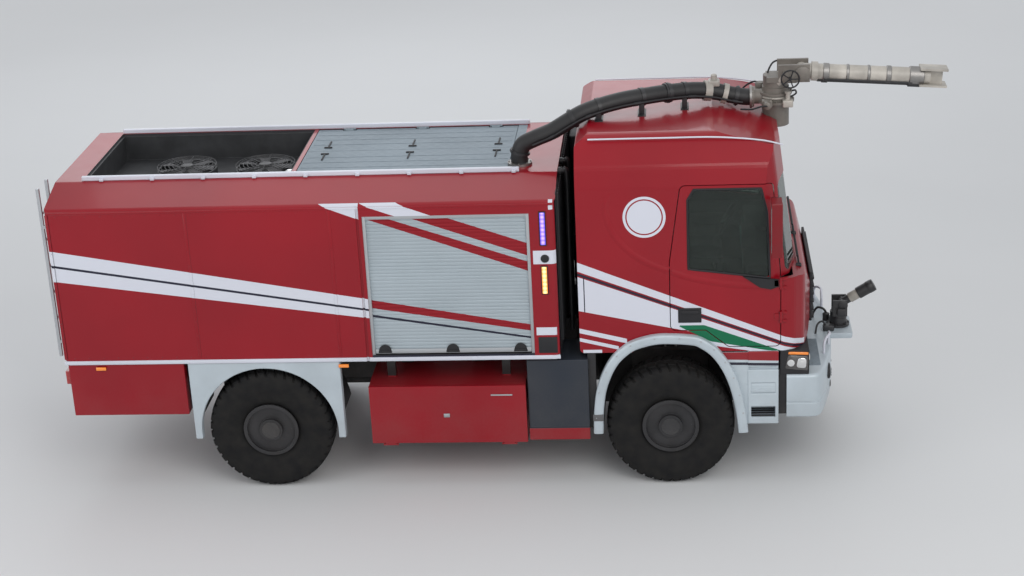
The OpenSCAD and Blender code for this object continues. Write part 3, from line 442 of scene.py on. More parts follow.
class Finish:
    """A node material. A value is a number, a colour or the output of another node."""

    def __init__(self, name, **sockets):
        self.material = bpy.data.materials.new(name)
        self.material.use_nodes = True
        self.nodes = self.material.node_tree.nodes
        self.links = self.material.node_tree.links
        self.shader = self.nodes["Principled BSDF"]
        for key, value in sockets.items():
            self.set(key.replace("_", " ").title().replace("Ior", "IOR"), value)
        where = self.nodes.new("ShaderNodeTexCoord")
        self.place, self.facing = where.outputs["Object"], where.outputs["Normal"]
        axes = self.add("ShaderNodeSeparateXYZ", {0: self.place})
        self.x, self.y, self.z = axes.outputs
        self.away = self.calc("ABSOLUTE", self.y)

    def set(self, socket, value):
        if isinstance(value, bpy.types.NodeSocket):
            self.links.new(value, self.shader.inputs[socket])
        else:
            if isinstance(value, tuple) and len(value) == 3:
                value = (*value, 1)
            self.shader.inputs[socket].default_value = value

    def add(self, kind, inputs, **settings):
        node = self.nodes.new(kind)
        for key, value in settings.items():
            setattr(node, key, value)
        for key, value in inputs.items():
            if isinstance(value, bpy.types.NodeSocket):
                self.links.new(value, node.inputs[key])
            else:
                if isinstance(value, tuple) and len(value) == 3 and node.inputs[key].type == "RGBA":
                    value = (*value, 1)
                node.inputs[key].default_value = value
        return node

    def calc(self, operation, a, b=0.0, c=0.0):
        return self.add("ShaderNodeMath", {0: a, 1: b, 2: c}, operation=operation).outputs[0]

    def times(self, a, b):
        return self.calc("MULTIPLY", a, b)

    def wave(self, value, rate):
        """The sine of a value times a rate."""
        return self.calc("SINE", self.times(value, rate))

    def blend(self, share, a, b):
        return self.add("ShaderNodeMix", {0: share, 6: a, 7: b}, data_type="RGBA").outputs[2]

    def spread(self, value, low, high, least=0.0, most=1.0):
        """Carries the range from low to high over to the one from least to most, and keeps to it."""
        return self.add("ShaderNodeMapRange", {0: value, 1: low, 2: high, 3: least, 4: most}).outputs[0]

    def noise(self, scale, detail=4.0, stretch=(1, 1, 1)):
        place = self.place
        if stretch != (1, 1, 1):
            place = self.add("ShaderNodeMapping", {"Vector": place, "Scale": stretch}).outputs[0]
        return self.add("ShaderNodeTexNoise", {"Vector": place, "Scale": scale, "Detail": detail}).outputs["Fac"]

    def inside(self, corners):
        """1 within a convex outline in X and Z: the least distance to its edges, each a weighted sum of X and Z."""
        corners = np.asarray(corners, float)
        step = np.roll(corners, -1, 0) - corners
        area = (corners[:, 0] * np.roll(corners[:, 1], -1) - corners[:, 1] * np.roll(corners[:, 0], -1)).sum()
        normal = np.stack([-step[:, 1], step[:, 0]], -1) * np.sign(area)
        normal /= np.linalg.norm(normal, axis=1)[:, None]
        least = None
        for (a, b), corner in zip(normal, corners):
            away = self.calc("MULTIPLY_ADD", self.x, float(a), -float(a * corner[0] + b * corner[1]))
            away = self.calc("MULTIPLY_ADD", self.z, float(b), away)
            least = away if least is None else self.calc("MINIMUM", least, away)
        return self.calc("GREATER_THAN", least, 0.0)

    def disc(self, x, z, radius):
        """1 within a circle in X and Z."""
        across = self.calc("POWER", self.calc("SUBTRACT", self.x, x), 2.0)
        upward = self.calc("SUBTRACT", self.z, z)
        return self.calc("LESS_THAN", self.calc("MULTIPLY_ADD", upward, upward, across), radius**2)

    def outer(self, centre):
        """1 where a face looks away from the centre of a hollow piece."""
        arm = self.add("ShaderNodeVectorMath", {0: self.place, 1: centre}, operation="SUBTRACT").outputs[0]
        dot = self.add("ShaderNodeVectorMath", {0: arm, 1: self.facing}, operation="DOT_PRODUCT").outputs["Value"]
        return self.calc("GREATER_THAN", dot, 0.0)

    def sideways(self):
        """1 where a face looks to the left or right."""
        facing = self.add("ShaderNodeSeparateXYZ", {0: self.facing}).outputs[1]
        return self.calc("GREATER_THAN", self.calc("ABSOLUTE", facing), 0.35)

    def gap_shade_mask(self):
        """1 on the faces that look into the gap between the cab and the body, where the paint is darkened to
        near-black painted shade.
        """
        facing = self.add("ShaderNodeSeparateXYZ", {0: self.facing}).outputs[0]
        steep = self.calc("GREATER_THAN", self.calc("ABSOLUTE", facing), 0.8)
        near = self.calc("LESS_THAN", self.calc("ABSOLUTE", self.calc("SUBTRACT", self.x, 0.7)), 0.11)
        low = self.calc("LESS_THAN", self.z, 3.06)
        return self.times(self.times(steep, near), low)

    def dusty(self, base, amount, top=1.5):
        """Road dust that thins out upwards, broken up by noise."""
        low = self.spread(self.z, top, 0.3)
        cloud = self.spread(self.noise(2.3, 6.0), 0.35, 0.75)
        fine = self.spread(self.noise(38.0, 4.0), 0.3, 0.8)
        share = self.times(self.times(low, amount), self.calc("MULTIPLY_ADD", cloud, 0.7, self.times(fine, 0.3)))
        return self.blend(share, base, DUST)

    def rough(self, low, high, scale=6.0):
        self.set("Roughness", self.spread(self.noise(scale, 6.0), 0.0, 1.0, low, high))

    def bump(self, height, distance, strength=1.0):
        bumps = self.add("ShaderNodeBump", {"Strength": strength, "Distance": distance, "Height": height})
        self.set("Normal", bumps.outputs[0])

    def done(self, base, rough, *bump):
        """Sets the colour, the limits of the roughness and the bump, and gives back the material."""
        self.set("Base Color", base)
        self.rough(*rough)
        self.bump(*bump)
        return self.material


# Stripes in X and Z, in metres: the columns are the colour and the corners
CAB_STRIPES = (
    ("white", ((0.77, 2.245), (3.02, 1.375), (3.02, 1.425), (0.77, 2.335))),
    ("navy", ((0.77, 2.203), (3.02, 1.348), (3.02, 1.368), (0.77, 2.228))),
    ("white", ((0.77, 1.84), (1.95, 1.585), (1.95, 1.745), (0.77, 2.19))),
    ("white", ((1.95, 1.478), (2.69, 1.352), (3.02, 1.3), (3.02, 1.332), (1.95, 1.742))),
    ("green", ((1.74, 1.66), (2.035, 1.503), (2.56, 1.405), (2.72, 1.39), (1.975, 1.672), (1.745, 1.672))),
    ("white", ((0.77, 1.612), (1.24, 1.495), (1.24, 1.542), (0.77, 1.66))),
    ("white", ((0.77, 1.526), (1.16, 1.43), (1.16, 1.466), (0.77, 1.562))),
    ("white", ((0.82, 1.4), (1.0, 1.4), (1.0, 1.432), (0.82, 1.432))),
    ("navy", ((0.842, 1.82), (0.852, 1.82), (0.852, 2.175), (0.842, 2.175))),
)
BODY_STRIPES = (
    ("white", ((-1.7, 3.005), (-1.24, 2.822), (-1.24, 3.005))),
    ("white", ((-1.24, 2.976), (-0.86, 2.835), (-0.52, 2.835), (-0.896, 2.976))),
    ("white", ((-4.3, 2.257), (-1.2, 1.82), (-1.2, 2.016), (-4.3, 2.57))),
    ("navy", ((-4.3, 2.402), (-1.2, 1.893), (-1.2, 1.915), (-4.3, 2.426))),
    ("white", ((-4.3, 1.36), (0.62, 1.36), (0.62, 1.412), (-4.3, 1.412))),
    ("navy", ((-1.21, 1.412), (0.36, 1.412), (0.36, 1.432), (-1.21, 1.432))),
    ("white", ((0.385, 2.345), (0.6, 2.345), (0.6, 2.48), (0.385, 2.48))),
    ("white", ((0.385, 1.62), (0.58, 1.62), (0.58, 1.7), (0.385, 1.7))),
    ("white", ((0.32, 3.03), (0.585, 3.03), (0.585, 3.07), (0.32, 3.07))),
    ("white", ((0.545, 2.95), (0.585, 2.95), (0.585, 3.05), (0.545, 3.05))),
    ("white", ((0.545, 2.885), (0.585, 2.885), (0.585, 2.93), (0.545, 2.93))),
)
SHUTTER_STRIPES = (
    ("red", ((-0.88, 2.86), (0.38, 2.405), (0.38, 2.53), (-0.54, 2.86))),
    ("red", ((-1.22, 2.83), (0.38, 2.25), (0.38, 2.345), (-1.1, 2.86), (-1.22, 2.86))),
    ("red", ((-1.22, 1.918), (0.38, 1.648), (0.38, 1.712), (-1.22, 2.002))),
    ("navy", ((-1.22, 1.826), (0.38, 1.568), (0.38, 1.588), (-1.22, 1.85))),
)
STEP_STRIPES = (
    ("red", ((2.1, 1.318), (2.68, 1.302), (2.68, 1.4), (2.1, 1.4))),
    ("navy", ((2.1, 1.262), (2.68, 1.25), (2.68, 1.278), (2.1, 1.29))),
)


def striped(finish, base, stripes, only):
    """Lays each stripe over the base colour, where the mask only allows it."""
    for name, corners in stripes:
        base = finish.blend(finish.times(finish.inside(corners), only), base, paint(name))
    return base


def gloss_paint(name, stripes=(), centre=None, base="red", discs=()):
    """Clear-coated paint with light dust. A hollow piece, which has a centre, also gets stripes and the discs of the
    roundel on its outer side faces, dark trim on its inner faces, and near-black painted shade on the faces that look
    into the gap between the cab and the body."""
    finish = Finish(name, coat_weight=0.35, coat_roughness=0.09, specular_ior_level=0.22)
    tone = finish.spread(finish.noise(0.9, 3.0), 0.3, 0.7)
    hue = finish.blend(tone, scaled(paint(base), 0.9), scaled(paint(base), 1.08))
    if centre:
        outer = finish.outer(centre)
        only = finish.times(finish.sideways(), outer)
        hue = striped(finish, hue, stripes, only)
        for radius, ink in discs:
            hue = finish.blend(finish.times(finish.disc(*ROUNDEL, radius), only), hue, paint(ink))
        hue = finish.blend(outer, (0.05, 0.05, 0.055), hue)
        # Painted shade: near-black on the faces that look into the gap between the cab and the body, below the cab's
        # roof
        hue = finish.blend(finish.gap_shade_mask(), hue, (0.012, 0.012, 0.014))
    return finish.done(finish.dusty(hue, 0.22), (0.26, 0.38), finish.noise(420.0, 2.0), 0.0002, 0.12)


def box_paint(name, upper, lower, level):
    """Satin paint in two colours, the upper one above a level, with dust."""
    finish = Finish(name, coat_weight=0.3, coat_roughness=0.12, specular_ior_level=0.22)
    tone = finish.spread(finish.noise(1.4, 5.0), 0.3, 0.7)
    base = finish.blend(finish.calc("GREATER_THAN", finish.z, level), lower, upper)
    base = finish.blend(finish.times(tone, 0.12), base, (0.1, 0.09, 0.08))
    return finish.done(finish.dusty(base, 0.25), (0.3, 0.45), finish.noise(300.0, 3.0), 0.0002, 0.2)


def panel_paint(name, stripes=()):
    """Satin silver paint with a faint orange peel, scuffs and dust."""
    finish = Finish(name, metallic=0.12, coat_weight=0.2, coat_roughness=0.15)
    cloud = finish.spread(finish.noise(3.0, 5.0), 0.3, 0.75)
    base = finish.blend(cloud, scaled(paint("panel"), 0.9), scaled(paint("panel"), 1.06))
    if stripes:
        base = striped(finish, base, stripes, finish.sideways())
    return finish.done(finish.dusty(base, 0.3), (0.34, 0.48, 9.0), finish.noise(300.0, 3.0), 0.0002, 0.2)


def brushed(name, hue, along, rough=(0.28, 0.5), stripes=(), metallic=0.85):
    """Brushed aluminium: noise drawn out along the grain drives colour, roughness and bump."""
    finish = Finish(name, metallic=metallic)
    grain = finish.noise(14.0, 6.0, along)
    cloud = finish.spread(finish.noise(1.7, 5.0), 0.25, 0.75)
    base = finish.blend(cloud, scaled(hue, 0.86), hue)
    streaks = finish.times(finish.spread(grain, 0.35, 0.7), 0.25)
    base = finish.blend(streaks, base, scaled(hue, 1.15))
    if stripes:
        base = striped(finish, base, stripes, finish.sideways())
    finish.set("Base Color", finish.dusty(base, 0.2))
    finish.set("Roughness", finish.spread(grain, 0.3, 0.7, *rough))
    finish.bump(grain, 0.0004, 0.25)
    return finish.material


def chassis_paint(name, hue, amount=0.6, rough=(0.45, 0.7)):
    """Flat chassis paint, with dust that thins out upwards and a cast grain."""
    finish = Finish(name)
    cloud = finish.spread(finish.noise(5.0, 6.0), 0.35, 0.7)
    base = finish.blend(cloud, hue, scaled(hue, 1.7, 0.004))
    return finish.done(finish.dusty(base, amount, 1.9), rough, finish.noise(160.0, 6.0), 0.0006, 0.5)


def moulded(name, hue, rough=(0.5, 0.65)):
    """Moulded plastic with a fine leather grain."""
    finish = Finish(name, specular_ior_level=0.4)
    cells = finish.add("ShaderNodeTexVoronoi", {"Vector": finish.place, "Scale": 420.0}).outputs["Distance"]
    base = finish.blend(finish.noise(7.0, 5.0), hue, scaled(hue, 1.5))
    return finish.done(finish.dusty(base, 0.3), rough, cells, 0.0006, 0.35)


def rubber(name):
    """Tyre rubber: dull, mottled by dried dust, with a fine grain."""
    finish = Finish(name, specular_ior_level=0.16)
    cloud = finish.spread(finish.noise(9.0, 7.0), 0.3, 0.72)
    return finish.done(
        finish.blend(cloud, (0.012, 0.012, 0.013), (0.021, 0.02, 0.019)), (0.72, 0.92, 12.0),
        finish.noise(260.0, 5.0), 0.0008, 0.6,
    )


def glass(name):
    """Tinted safety glass. Faint level smears vary the tint."""
    tint = (0.26, 0.32, 0.29)
    finish = Finish(name, transmission_weight=0.94, ior=1.3, roughness=0.0, specular_ior_level=0.5)
    smear = finish.spread(finish.noise(4.0, 5.0, (1, 1, 3)), 0.3, 0.8)
    finish.set("Base Color", finish.blend(smear, tint, scaled(tint, 0.8)))
    return finish.material


def lens(name, hue, glow=0.0):
    """Ribbed lamp lens. The ribs are a sine of Z, in the bump and in how light the colour and the glow are."""
    finish = Finish(name, coat_weight=0.8, coat_roughness=0.05, emission_strength=glow)
    ribs = finish.wave(finish.z, 420.0)
    light = finish.spread(ribs, -1.0, 1.0)
    finish.set("Base Color", finish.blend(light, hue, scaled(hue, 1.3, 0.02)))
    if glow:
        finish.set("Emission Color", finish.blend(light, hue, scaled(hue, 1.5, 0.1)))
    finish.rough(0.12, 0.2)
    finish.bump(ribs, 0.001, 0.5)
    return finish.material


def led_strip(name):
    """Blue lamps above and amber lamps below. Each glows along its middle, brighter at its cells."""
    finish = Finish(name, coat_weight=0.6, coat_roughness=0.08, emission_strength=1.3)
    upper = finish.calc("GREATER_THAN", finish.z, 2.43)
    cells = finish.spread(finish.wave(finish.z, 150.0), -1.0, 0.6)
    middle = finish.spread(finish.calc("ABSOLUTE", finish.calc("SUBTRACT", finish.x, 0.485)), 0.024, 0.006)
    hot = finish.times(finish.calc("MULTIPLY_ADD", cells, 0.55, 0.45), middle)
    hue = finish.blend(upper, (0.5, 0.14, 0.01), (0.05, 0.02, 0.4))
    core = finish.blend(upper, (1.0, 0.72, 0.3), (0.42, 0.28, 1.0))
    glow = finish.blend(hot, hue, core)
    finish.set("Base Color", glow)
    finish.set("Emission Color", glow)
    finish.rough(0.15, 0.25)
    finish.bump(cells, 0.001, 0.3)
    return finish.material


def tread_plate(name, hue):
    """Aluminium tread plate: short raised bars at right angles by turns. One set is the sixth power of a sine of
    X + Y times a slower sine of X - Y, and the other has the two directions changed round."""
    finish = Finish(name, metallic=0.35)
    cloud = finish.spread(finish.noise(1.3, 6.0), 0.25, 0.75)
    grit = finish.spread(finish.noise(21.0, 5.0), 0.45, 0.8)
    base = finish.blend(cloud, scaled(hue, 0.8), hue)
    base = finish.blend(finish.times(grit, 0.3), base, scaled(hue, 0.55))
    ways = finish.calc("ADD", finish.x, finish.y), finish.calc("SUBTRACT", finish.x, finish.y)
    sets = [
        finish.times(
            finish.calc("POWER", finish.calc("ABSOLUTE", finish.wave(one, 95.0)), 6.0), finish.wave(other, 47.5)
        )
        for one, other in (ways, ways[::-1])
    ]
    bars = finish.calc("MAXIMUM", *sets)
    worn = finish.times(finish.spread(bars, 0.2, 0.9), 0.35)
    return finish.done(finish.blend(worn, base, scaled(hue, 1.35)), (0.5, 0.68, 5.0), bars, 0.0015, 0.6)


def mirror_shell(name):
    """Red mirror housings on black arms, told apart by how far they stand from the door."""
    finish = Finish(name, coat_weight=0.3, coat_roughness=0.1, specular_ior_level=0.25)
    shell = finish.calc("GREATER_THAN", finish.away, 1.335)
    hue = finish.blend(shell, (0.012, 0.012, 0.014), scaled(paint("red"), 0.7))
    dirt = finish.times(finish.spread(finish.noise(8.0), 0.3, 0.8), 0.2)
    return finish.done(
        finish.blend(dirt, hue, (0.04, 0.035, 0.03)), (0.3, 0.45), finish.noise(260.0, 3.0), 0.0003, 0.25
    )


def screen(name):
    """Glowing dashboard screens: dark green-blue panes with lighter rows, as steps of a sine of Z."""
    finish = Finish(name, coat_weight=0.8, coat_roughness=0.04, emission_strength=0.4)
    rows = finish.calc("GREATER_THAN", finish.wave(finish.z, 380.0), 0.4)
    cells = finish.calc("GREATER_THAN", finish.wave(finish.y, 160.0), -0.2)
    hue = finish.blend(finish.times(rows, cells), (0.004, 0.012, 0.016), (0.12, 0.32, 0.3))
    finish.set("Base Color", hue)
    finish.set("Emission Color", hue)
    finish.rough(0.2, 0.3)
    return finish.material


def woven(name, hue):
    """Seat cloth: two crossed sets of threads as sines in X, Y and Z, with sheen and mottled colour."""
    finish = Finish(name, sheen_weight=0.4, sheen_roughness=0.5)
    warp = finish.wave(finish.y, 2400.0)
    weft = finish.wave(finish.calc("ADD", finish.x, finish.z), 2400.0)
    weave = finish.times(warp, weft)
    base = finish.blend(finish.spread(weave, -1.0, 1.0), hue, scaled(hue, 1.6))
    mottle = finish.times(finish.spread(finish.noise(16.0), 0.3, 0.7), 0.3)
    return finish.done(finish.blend(mottle, base, scaled(hue, 2.2)), (0.8, 0.95), weave, 0.0008, 0.5)


FINISHES = {}


def finishes():
    """Makes every finish once, from the colours in the settings."""
    if FINISHES:
        return FINISHES
    chassis, red, silver = paint("chassis"), paint("red"), paint("silver")
    FINISHES.update(
        cab=gloss_paint("cab_paint", CAB_STRIPES, (1.9, 0, 1.48), discs=ROUNDEL_DISCS),
        body=gloss_paint("body_paint", BODY_STRIPES, (-1.8, 0, 2.2)),
        red=gloss_paint("red_paint"),
        white=gloss_paint("white_paint", base="white"),
        panel=panel_paint("light_panel"),
        steps=panel_paint("step_panel", STEP_STRIPES),
        shutter=brushed("shutter_aluminium", silver, (2, 2, 70), (0.4, 0.55), SHUTTER_STRIPES, 0.3),
        deck=tread_plate("deck_aluminium", paint("deck")),
        rear=brushed("rear_aluminium", silver, (2, 2, 70), (0.4, 0.55), metallic=0.3),
        bare=brushed("bare_aluminium", (0.5, 0.52, 0.54), (40, 40, 3)),
        steel=brushed("steel", (0.3, 0.29, 0.28), (20, 20, 20), (0.32, 0.55)),
        frame=chassis_paint("frame_paint", chassis),
        engine=chassis_paint("cast_block", (0.09, 0.095, 0.1), 0.3),
        rim=chassis_paint("rim_paint", (0.011, 0.011, 0.013), 0.12, (0.4, 0.6)),
        hub=chassis_paint("hub_paint", (0.02, 0.02, 0.022), 0.3, (0.3, 0.5)),
        monitor=chassis_paint("monitor_metal", (0.12, 0.108, 0.095), 0.1, (0.35, 0.55)),
        pale=chassis_paint("monitor_paint", (0.32, 0.3, 0.27), 0.1, (0.3, 0.5)),
        dark=chassis_paint("dark_metal", (0.015, 0.015, 0.017), 0.2, (0.3, 0.5)),
        tank=box_paint("tank_paint", paint("tank"), red, 0.625),
        locker=box_paint("locker_paint", chassis, red, 1.1),
        black=moulded("black_plastic", (0.012, 0.012, 0.014)),
        grey=moulded("grey_plastic", (0.09, 0.09, 0.095)),
        hose=moulded("hose_rubber", (0.014, 0.014, 0.015), (0.4, 0.55)),
        tyre=rubber("tyre_rubber"),
        glass=glass("window_glass"),
        mirror=brushed("mirror_silver", (0.75, 0.78, 0.8), (1, 1, 1), (0.02, 0.06)),
        chrome=brushed("reflector_chrome", (0.8, 0.8, 0.8), (1, 1, 1), (0.05, 0.12)),
        smoked=lens("smoked_lens", (0.05, 0.045, 0.045)),
        bright=lens("bright_lens", (0.6, 0.58, 0.54), 0.12),
        mirrors=mirror_shell("mirror_shell"),
        screen=screen("dash_screen"),
        amber=lens("amber_lens", (0.7, 0.19, 0.01), 0.15),
        tail=lens("tail_lens", (0.3, 0.006, 0.006), 0.05),
        led=led_strip("warning_led"),
        cloth=woven("seat_cloth", (0.035, 0.038, 0.045)),
    )
    return FINISHES


# Measures of the frame

AXLE_X = 1.64
REAR_X = -2.29
AXLE_Z = 0.62
WHEELS = (
    ("front_right", AXLE_X, -1),
    ("front_left", AXLE_X, 1),
    ("rear_right", REAR_X, -1),
    ("rear_left", REAR_X, 1),
)
TYRE_Y = 1.0525
RIM_SEAT = 0.2555
HANDS = (("right", -1), ("left", 1))
# Seats ahead of the front axle and across
SEAT_PLACES = ((0.33, 0.62), (0.33, -0.62), (-0.42, 0.62), (-0.42, 0.0), (-0.42, -0.62))
# Axle, distance of its brake chambers from the middle, and their scale
BRAKES = ((AXLE_X, 0.565, 0.78), (REAR_X, 0.647, 1.0))
# Axes about which the roof monitor's barrel and the bumper monitor's nozzle lift
BARREL_PIVOT = (2.95, 0, 3.8)
NOZZLE_PIVOT = (3.37, 0, 1.39)


class PaintOperator(bpy.types.Operator):
    """Finish every rigid part of the frame and round its edges"""

    bl_idname = "firetruck.paint"
    bl_label = "Paint the frame"

    def execute(self, context):
        dress("cab", "cab_shell", "cab_door_left", "cab_door_right", edge=0.006)
        dress("body", "body_shell", edge=0.012)
        dress("locker", "side_lockers")
        dress("red", "locker_flap_left", "locker_flap_right", "rear_underrun")
        dress("tank", "side_tanks", edge=0.012)
        dress("white", "roof_rails", edge=0.008)
        dress("panel", "rear_fenders", edge=0.01)
        dress("steps", "cab_steps", edge=0.008)
        dress("deck", "roof_deck", "roof_lid_left", "roof_lid_right", edge=0.003)
        dress("bare", "rear_ladder", edge=0.003)
        dress("frame", "chassis_frame", "cross_members", "body_bearers", "front_axle", "rear_axle", edge=0.004)
        dress("frame", "suspension", "driveline", "knuckle_left", "knuckle_right", "engine_well", edge=0.003)
        dress("engine", "engine_block", edge=0.02)
        dress("rim", "rim_front_left", "rim_front_right", "rim_rear_left", "rim_rear_right", edge=0.003)
        dress("black", "front_grille", "headlamps", edge=0.006)
        dress("mirrors", "mirror_left", "mirror_right", edge=0.008)
        dress("grey", "dashboard", edge=0.012)
        dress("glass", "windscreen", "door_glass_left", "door_glass_right", edge=0.001)
        dress("tail", "tail_lamps", edge=0.008)
        dress("led", "warning_lamps", edge=0.004)
        dress("monitor", "roof_monitor_base", "roof_monitor_swivel", edge=0.004)
        dress("pale", "roof_monitor_barrel", edge=0.004)
        dress("dark", "bumper_monitor_base", "bumper_monitor_swivel", "bumper_monitor_nozzle", edge=0.004)
        return {"FINISHED"}


# Tyres and wheels


def tyre_shape(centre_x, side, settings):
    """A cross-section carried round the axle. Its radius and distance from the middle are smooth functions of
    the way across, and the tread cuts into the radius: a groove runs round the middle in a zigzag, and one
    groove per block runs outwards from it, slanted and widening to the shoulder."""
    around, across = 640, 72
    turn = np.linspace(0, 2 * math.pi, around, endpoint=False)[:, None]
    s = np.linspace(-1, 1, across)[None, :]
    knots = np.array([0, 0.3, 0.52, 0.62, 0.7, 0.8, 0.9, 1.0])
    radii = np.array([0.62, 0.618, 0.609, 0.594, 0.553, 0.45, 0.335, 0.262])
    widths = np.array([0.0, 0.085, 0.148, 0.17, 0.184, 0.1925, 0.168, 0.128])
    radius = np.interp(abs(s), knots, radii)
    width = np.interp(abs(s), knots, widths) * np.sign(s)
    count = settings.blocks
    zigzag = 0.012 * np.abs(((turn * count / (2 * math.pi)) % 1) * 2 - 1)
    middle = np.abs(width - 2 * zigzag + 0.012) < settings.bar / 2.4
    phase = (turn * count / (2 * math.pi) + width * 3.2 * np.sign(s) + (s > 0) * 0.5) % 1
    arc = np.abs(phase - 0.5) * 2 * math.pi * 0.62 / count
    cross = (arc < settings.bar * (0.32 + 0.5 * abs(s))) & (abs(s) > 0.1)
    rib = np.abs(abs(width) - 0.092) < 0.005
    shoulder = np.clip((0.66 - abs(s)) / 0.05, 0, 1)
    cut = settings.groove * np.where(middle | cross, 1.0, np.where(rib, 0.45, 0.0)) * shoulder
    side_ring = 0.003 * (np.abs(radius - 0.5) < 0.006) - 0.002 * (np.abs(radius - 0.36) < 0.01)
    radius = radius - cut
    width = width + np.sign(s) * (np.minimum(side_ring, 0) - 0.35 * cut * (abs(s) > 0.5))
    points = np.empty((around, across, 3))
    points[..., 0] = centre_x + radius * np.cos(turn)
    points[..., 2] = AXLE_Z + radius * np.sin(turn)
    points[..., 1] = side * TYRE_Y + width
    inner = np.empty((around, 4, 3))
    inner[..., 0] = centre_x + RIM_SEAT * np.cos(turn)
    inner[..., 2] = AXLE_Z + RIM_SEAT * np.sin(turn)
    inner[..., 1] = side * TYRE_Y + np.array([0.12, 0.06, -0.06, -0.12])
    return grid(np.concatenate([points, inner], 1), along=True, caps=False)


class WheelsOperator(bpy.types.Operator):
    """Make the tyres with their tread, and the nuts, hub caps, valves and rim edges of the wheels"""

    bl_idname = "firetruck.wheels"
    bl_label = "Tyres and wheels"

    def execute(self, context):
        for name, x, side in WHEELS:
            body, middle = "wheel_" + name, (x, 0, AXLE_Z)
            shape = tyre_shape(x, side, context.scene.truck_tyres)
            piece("tread_" + name, shape, "tyre", body, smooth=35, instead_of=["tyre_" + name])
            nut = moved(bolt(0.017, 0.026, "Y", side), (x + 0.155, side * 1.155, AXLE_Z))
            small = moved(bolt(0.01, 0.007, "Y", side), (x + 0.078, side * 1.2285, AXLE_Z))
            cap = lathe(
                [(0.09, 0), (0.088, 0.004 * side), (0.06, 0.005 * side)], (x, side * 1.2285, AXLE_Z), "Y", 32
            )
            valve = tube([(x + 0.2, side * 1.13, AXLE_Z), (x + 0.2, side * 1.19, AXLE_Z)], 0.006, 10, (0, 0, 1))
            nuts = turns_about(nut, "Y", range(0, 360, 36), middle)
            caps = turns_about(small, "Y", range(18, 378, 45), middle)
            piece("wheel_nuts_" + name, together(nuts, caps, cap, valve), "hub", body, smooth=30)
            edges = [
                ring(0.248, 0.009, (x, side * 1.187, AXLE_Z), "Y", 64),
                ring(0.238, 0.004, (x, side * 1.172, AXLE_Z), "Y", 64, 8),
            ]
            piece("rim_edge_" + name, edges, "rim", body, smooth=60)
        return {"FINISHED"}


# Body


def curtain(z, low, pitch, crown, axis, start, width, face, back):
    """A slatted shutter, whose section is carried across it along an axis. Its face lies back from a level by a
    V-shaped groove at each slat's edge, and by the crown times a parabola over each slat. Its back is flat."""
    wave = ((z - low) / pitch) % 1
    inset = 0.0045 * np.clip(1 - np.minimum(wave, 1 - wave) / 0.09, 0, 1) + crown * (2 * wave - 1) ** 2
    k = "XYZ".index(axis)
    section = np.empty((2 * len(z), 3))
    section[:, k] = start
    section[:, 1 - k] = np.concatenate([face + inset, np.full_like(z, back)])
    section[:, 2] = np.concatenate([z, z[::-1]])
    return grid(np.stack([section, section + width * np.eye(3)[k]]))


class ShuttersOperator(bpy.types.Operator):
    """Make the slatted roller shutters, their guides, bottom bars and grips"""

    bl_idname = "firetruck.shutters"
    bl_label = "Roller shutters"

    def execute(self, context):
        x0, x1, z0, z1 = -1.21, 0.36, 1.43, 2.85
        z = np.linspace(z0 + 0.05, z1, 39 * 8 + 1)
        side = both(curtain(z, z0 + 0.05, 0.0355, 0.0012, "X", x0 + 0.001, x1 - x0 - 0.002, -1.2448, -1.226))
        piece("side_slats", side, "shutter", smooth=50, instead_of=["roller_shutters"])
        z = np.linspace(1.5, 2.8, 37 * 6 + 1)
        rear = curtain(z, 1.5, 1.3 / 37, 0.0, "Y", -0.86, 1.72, -4.2298, -4.21)
        piece("rear_slats", rear, "rear", smooth=50)
        guides = together(
            block((x0 - 0.004, -1.268, z0), (x0 + 0.03, -1.236, z1)),
            block((x1 - 0.03, -1.268, z0), (x1 + 0.004, -1.236, z1)),
            block((x0, -1.262, z1 - 0.035), (x1, -1.236, z1 + 0.003), 0.005),
            block((x0 + 0.03, -1.262, z0 + 0.012), (x1 - 0.03, -1.238, z0 + 0.06), 0.006),
        )
        rear_guides = together(
            block((-4.256, -0.885, 1.49), (-4.222, -0.855, 2.82)),
            block((-4.256, 0.855, 1.49), (-4.222, 0.885, 2.82)),
            block((-4.256, -0.885, 2.79), (-4.222, 0.885, 2.825)),
            block((-4.25, -0.855, 1.5), (-4.226, 0.855, 1.56), 0.006),
        )
        piece("shutter_guides", [both(guides), rear_guides], "bare")
        angle = np.linspace(0, math.pi, 13)
        grips = []
        for x in (-1.085, -0.428, 0.225):
            outline = np.stack([x + 0.066 * np.cos(angle), z0 + 0.02 + 0.085 * np.sin(angle)], -1)
            grips += [
                plate(outline, -1.266, -1.248, "Y", 0.004),
                tube([(x - 0.05, -1.27, z0 + 0.04), (x + 0.05, -1.27, z0 + 0.04)], 0.006, 10, (0, 0, 1)),
            ]
        piece("shutter_grips", both(*grips), "black")
        sill = both(block((x0 - 0.02, -1.272, z0 - 0.024), (x1 + 0.02, -1.24, z0 - 0.001)))
        piece("shutter_seals", sill, "black")
        return {"FINISHED"}


def fan_blade():
    """A blade outwards along X. It widens evenly, stands at an angle that falls evenly outwards, and is 2 mm
    thick: each point is its distance outwards, and its distance across turned by the angle and pressed flat."""
    u = np.linspace(0.06, 0.275, 8)[:, None]
    v = np.linspace(-1, 1, 6)[None]
    twist = math.radians(34) * (1.25 - u / 0.4)
    half = 0.028 + 0.12 * u
    wide = np.stack([u + 0 * v, half * v * np.cos(twist), 2.9585 + 0.009 * v * np.sin(twist) + 0 * u], -1)
    return grid(np.concatenate([wide, wide[:, ::-1] - (0, 0, 0.002)], 1))


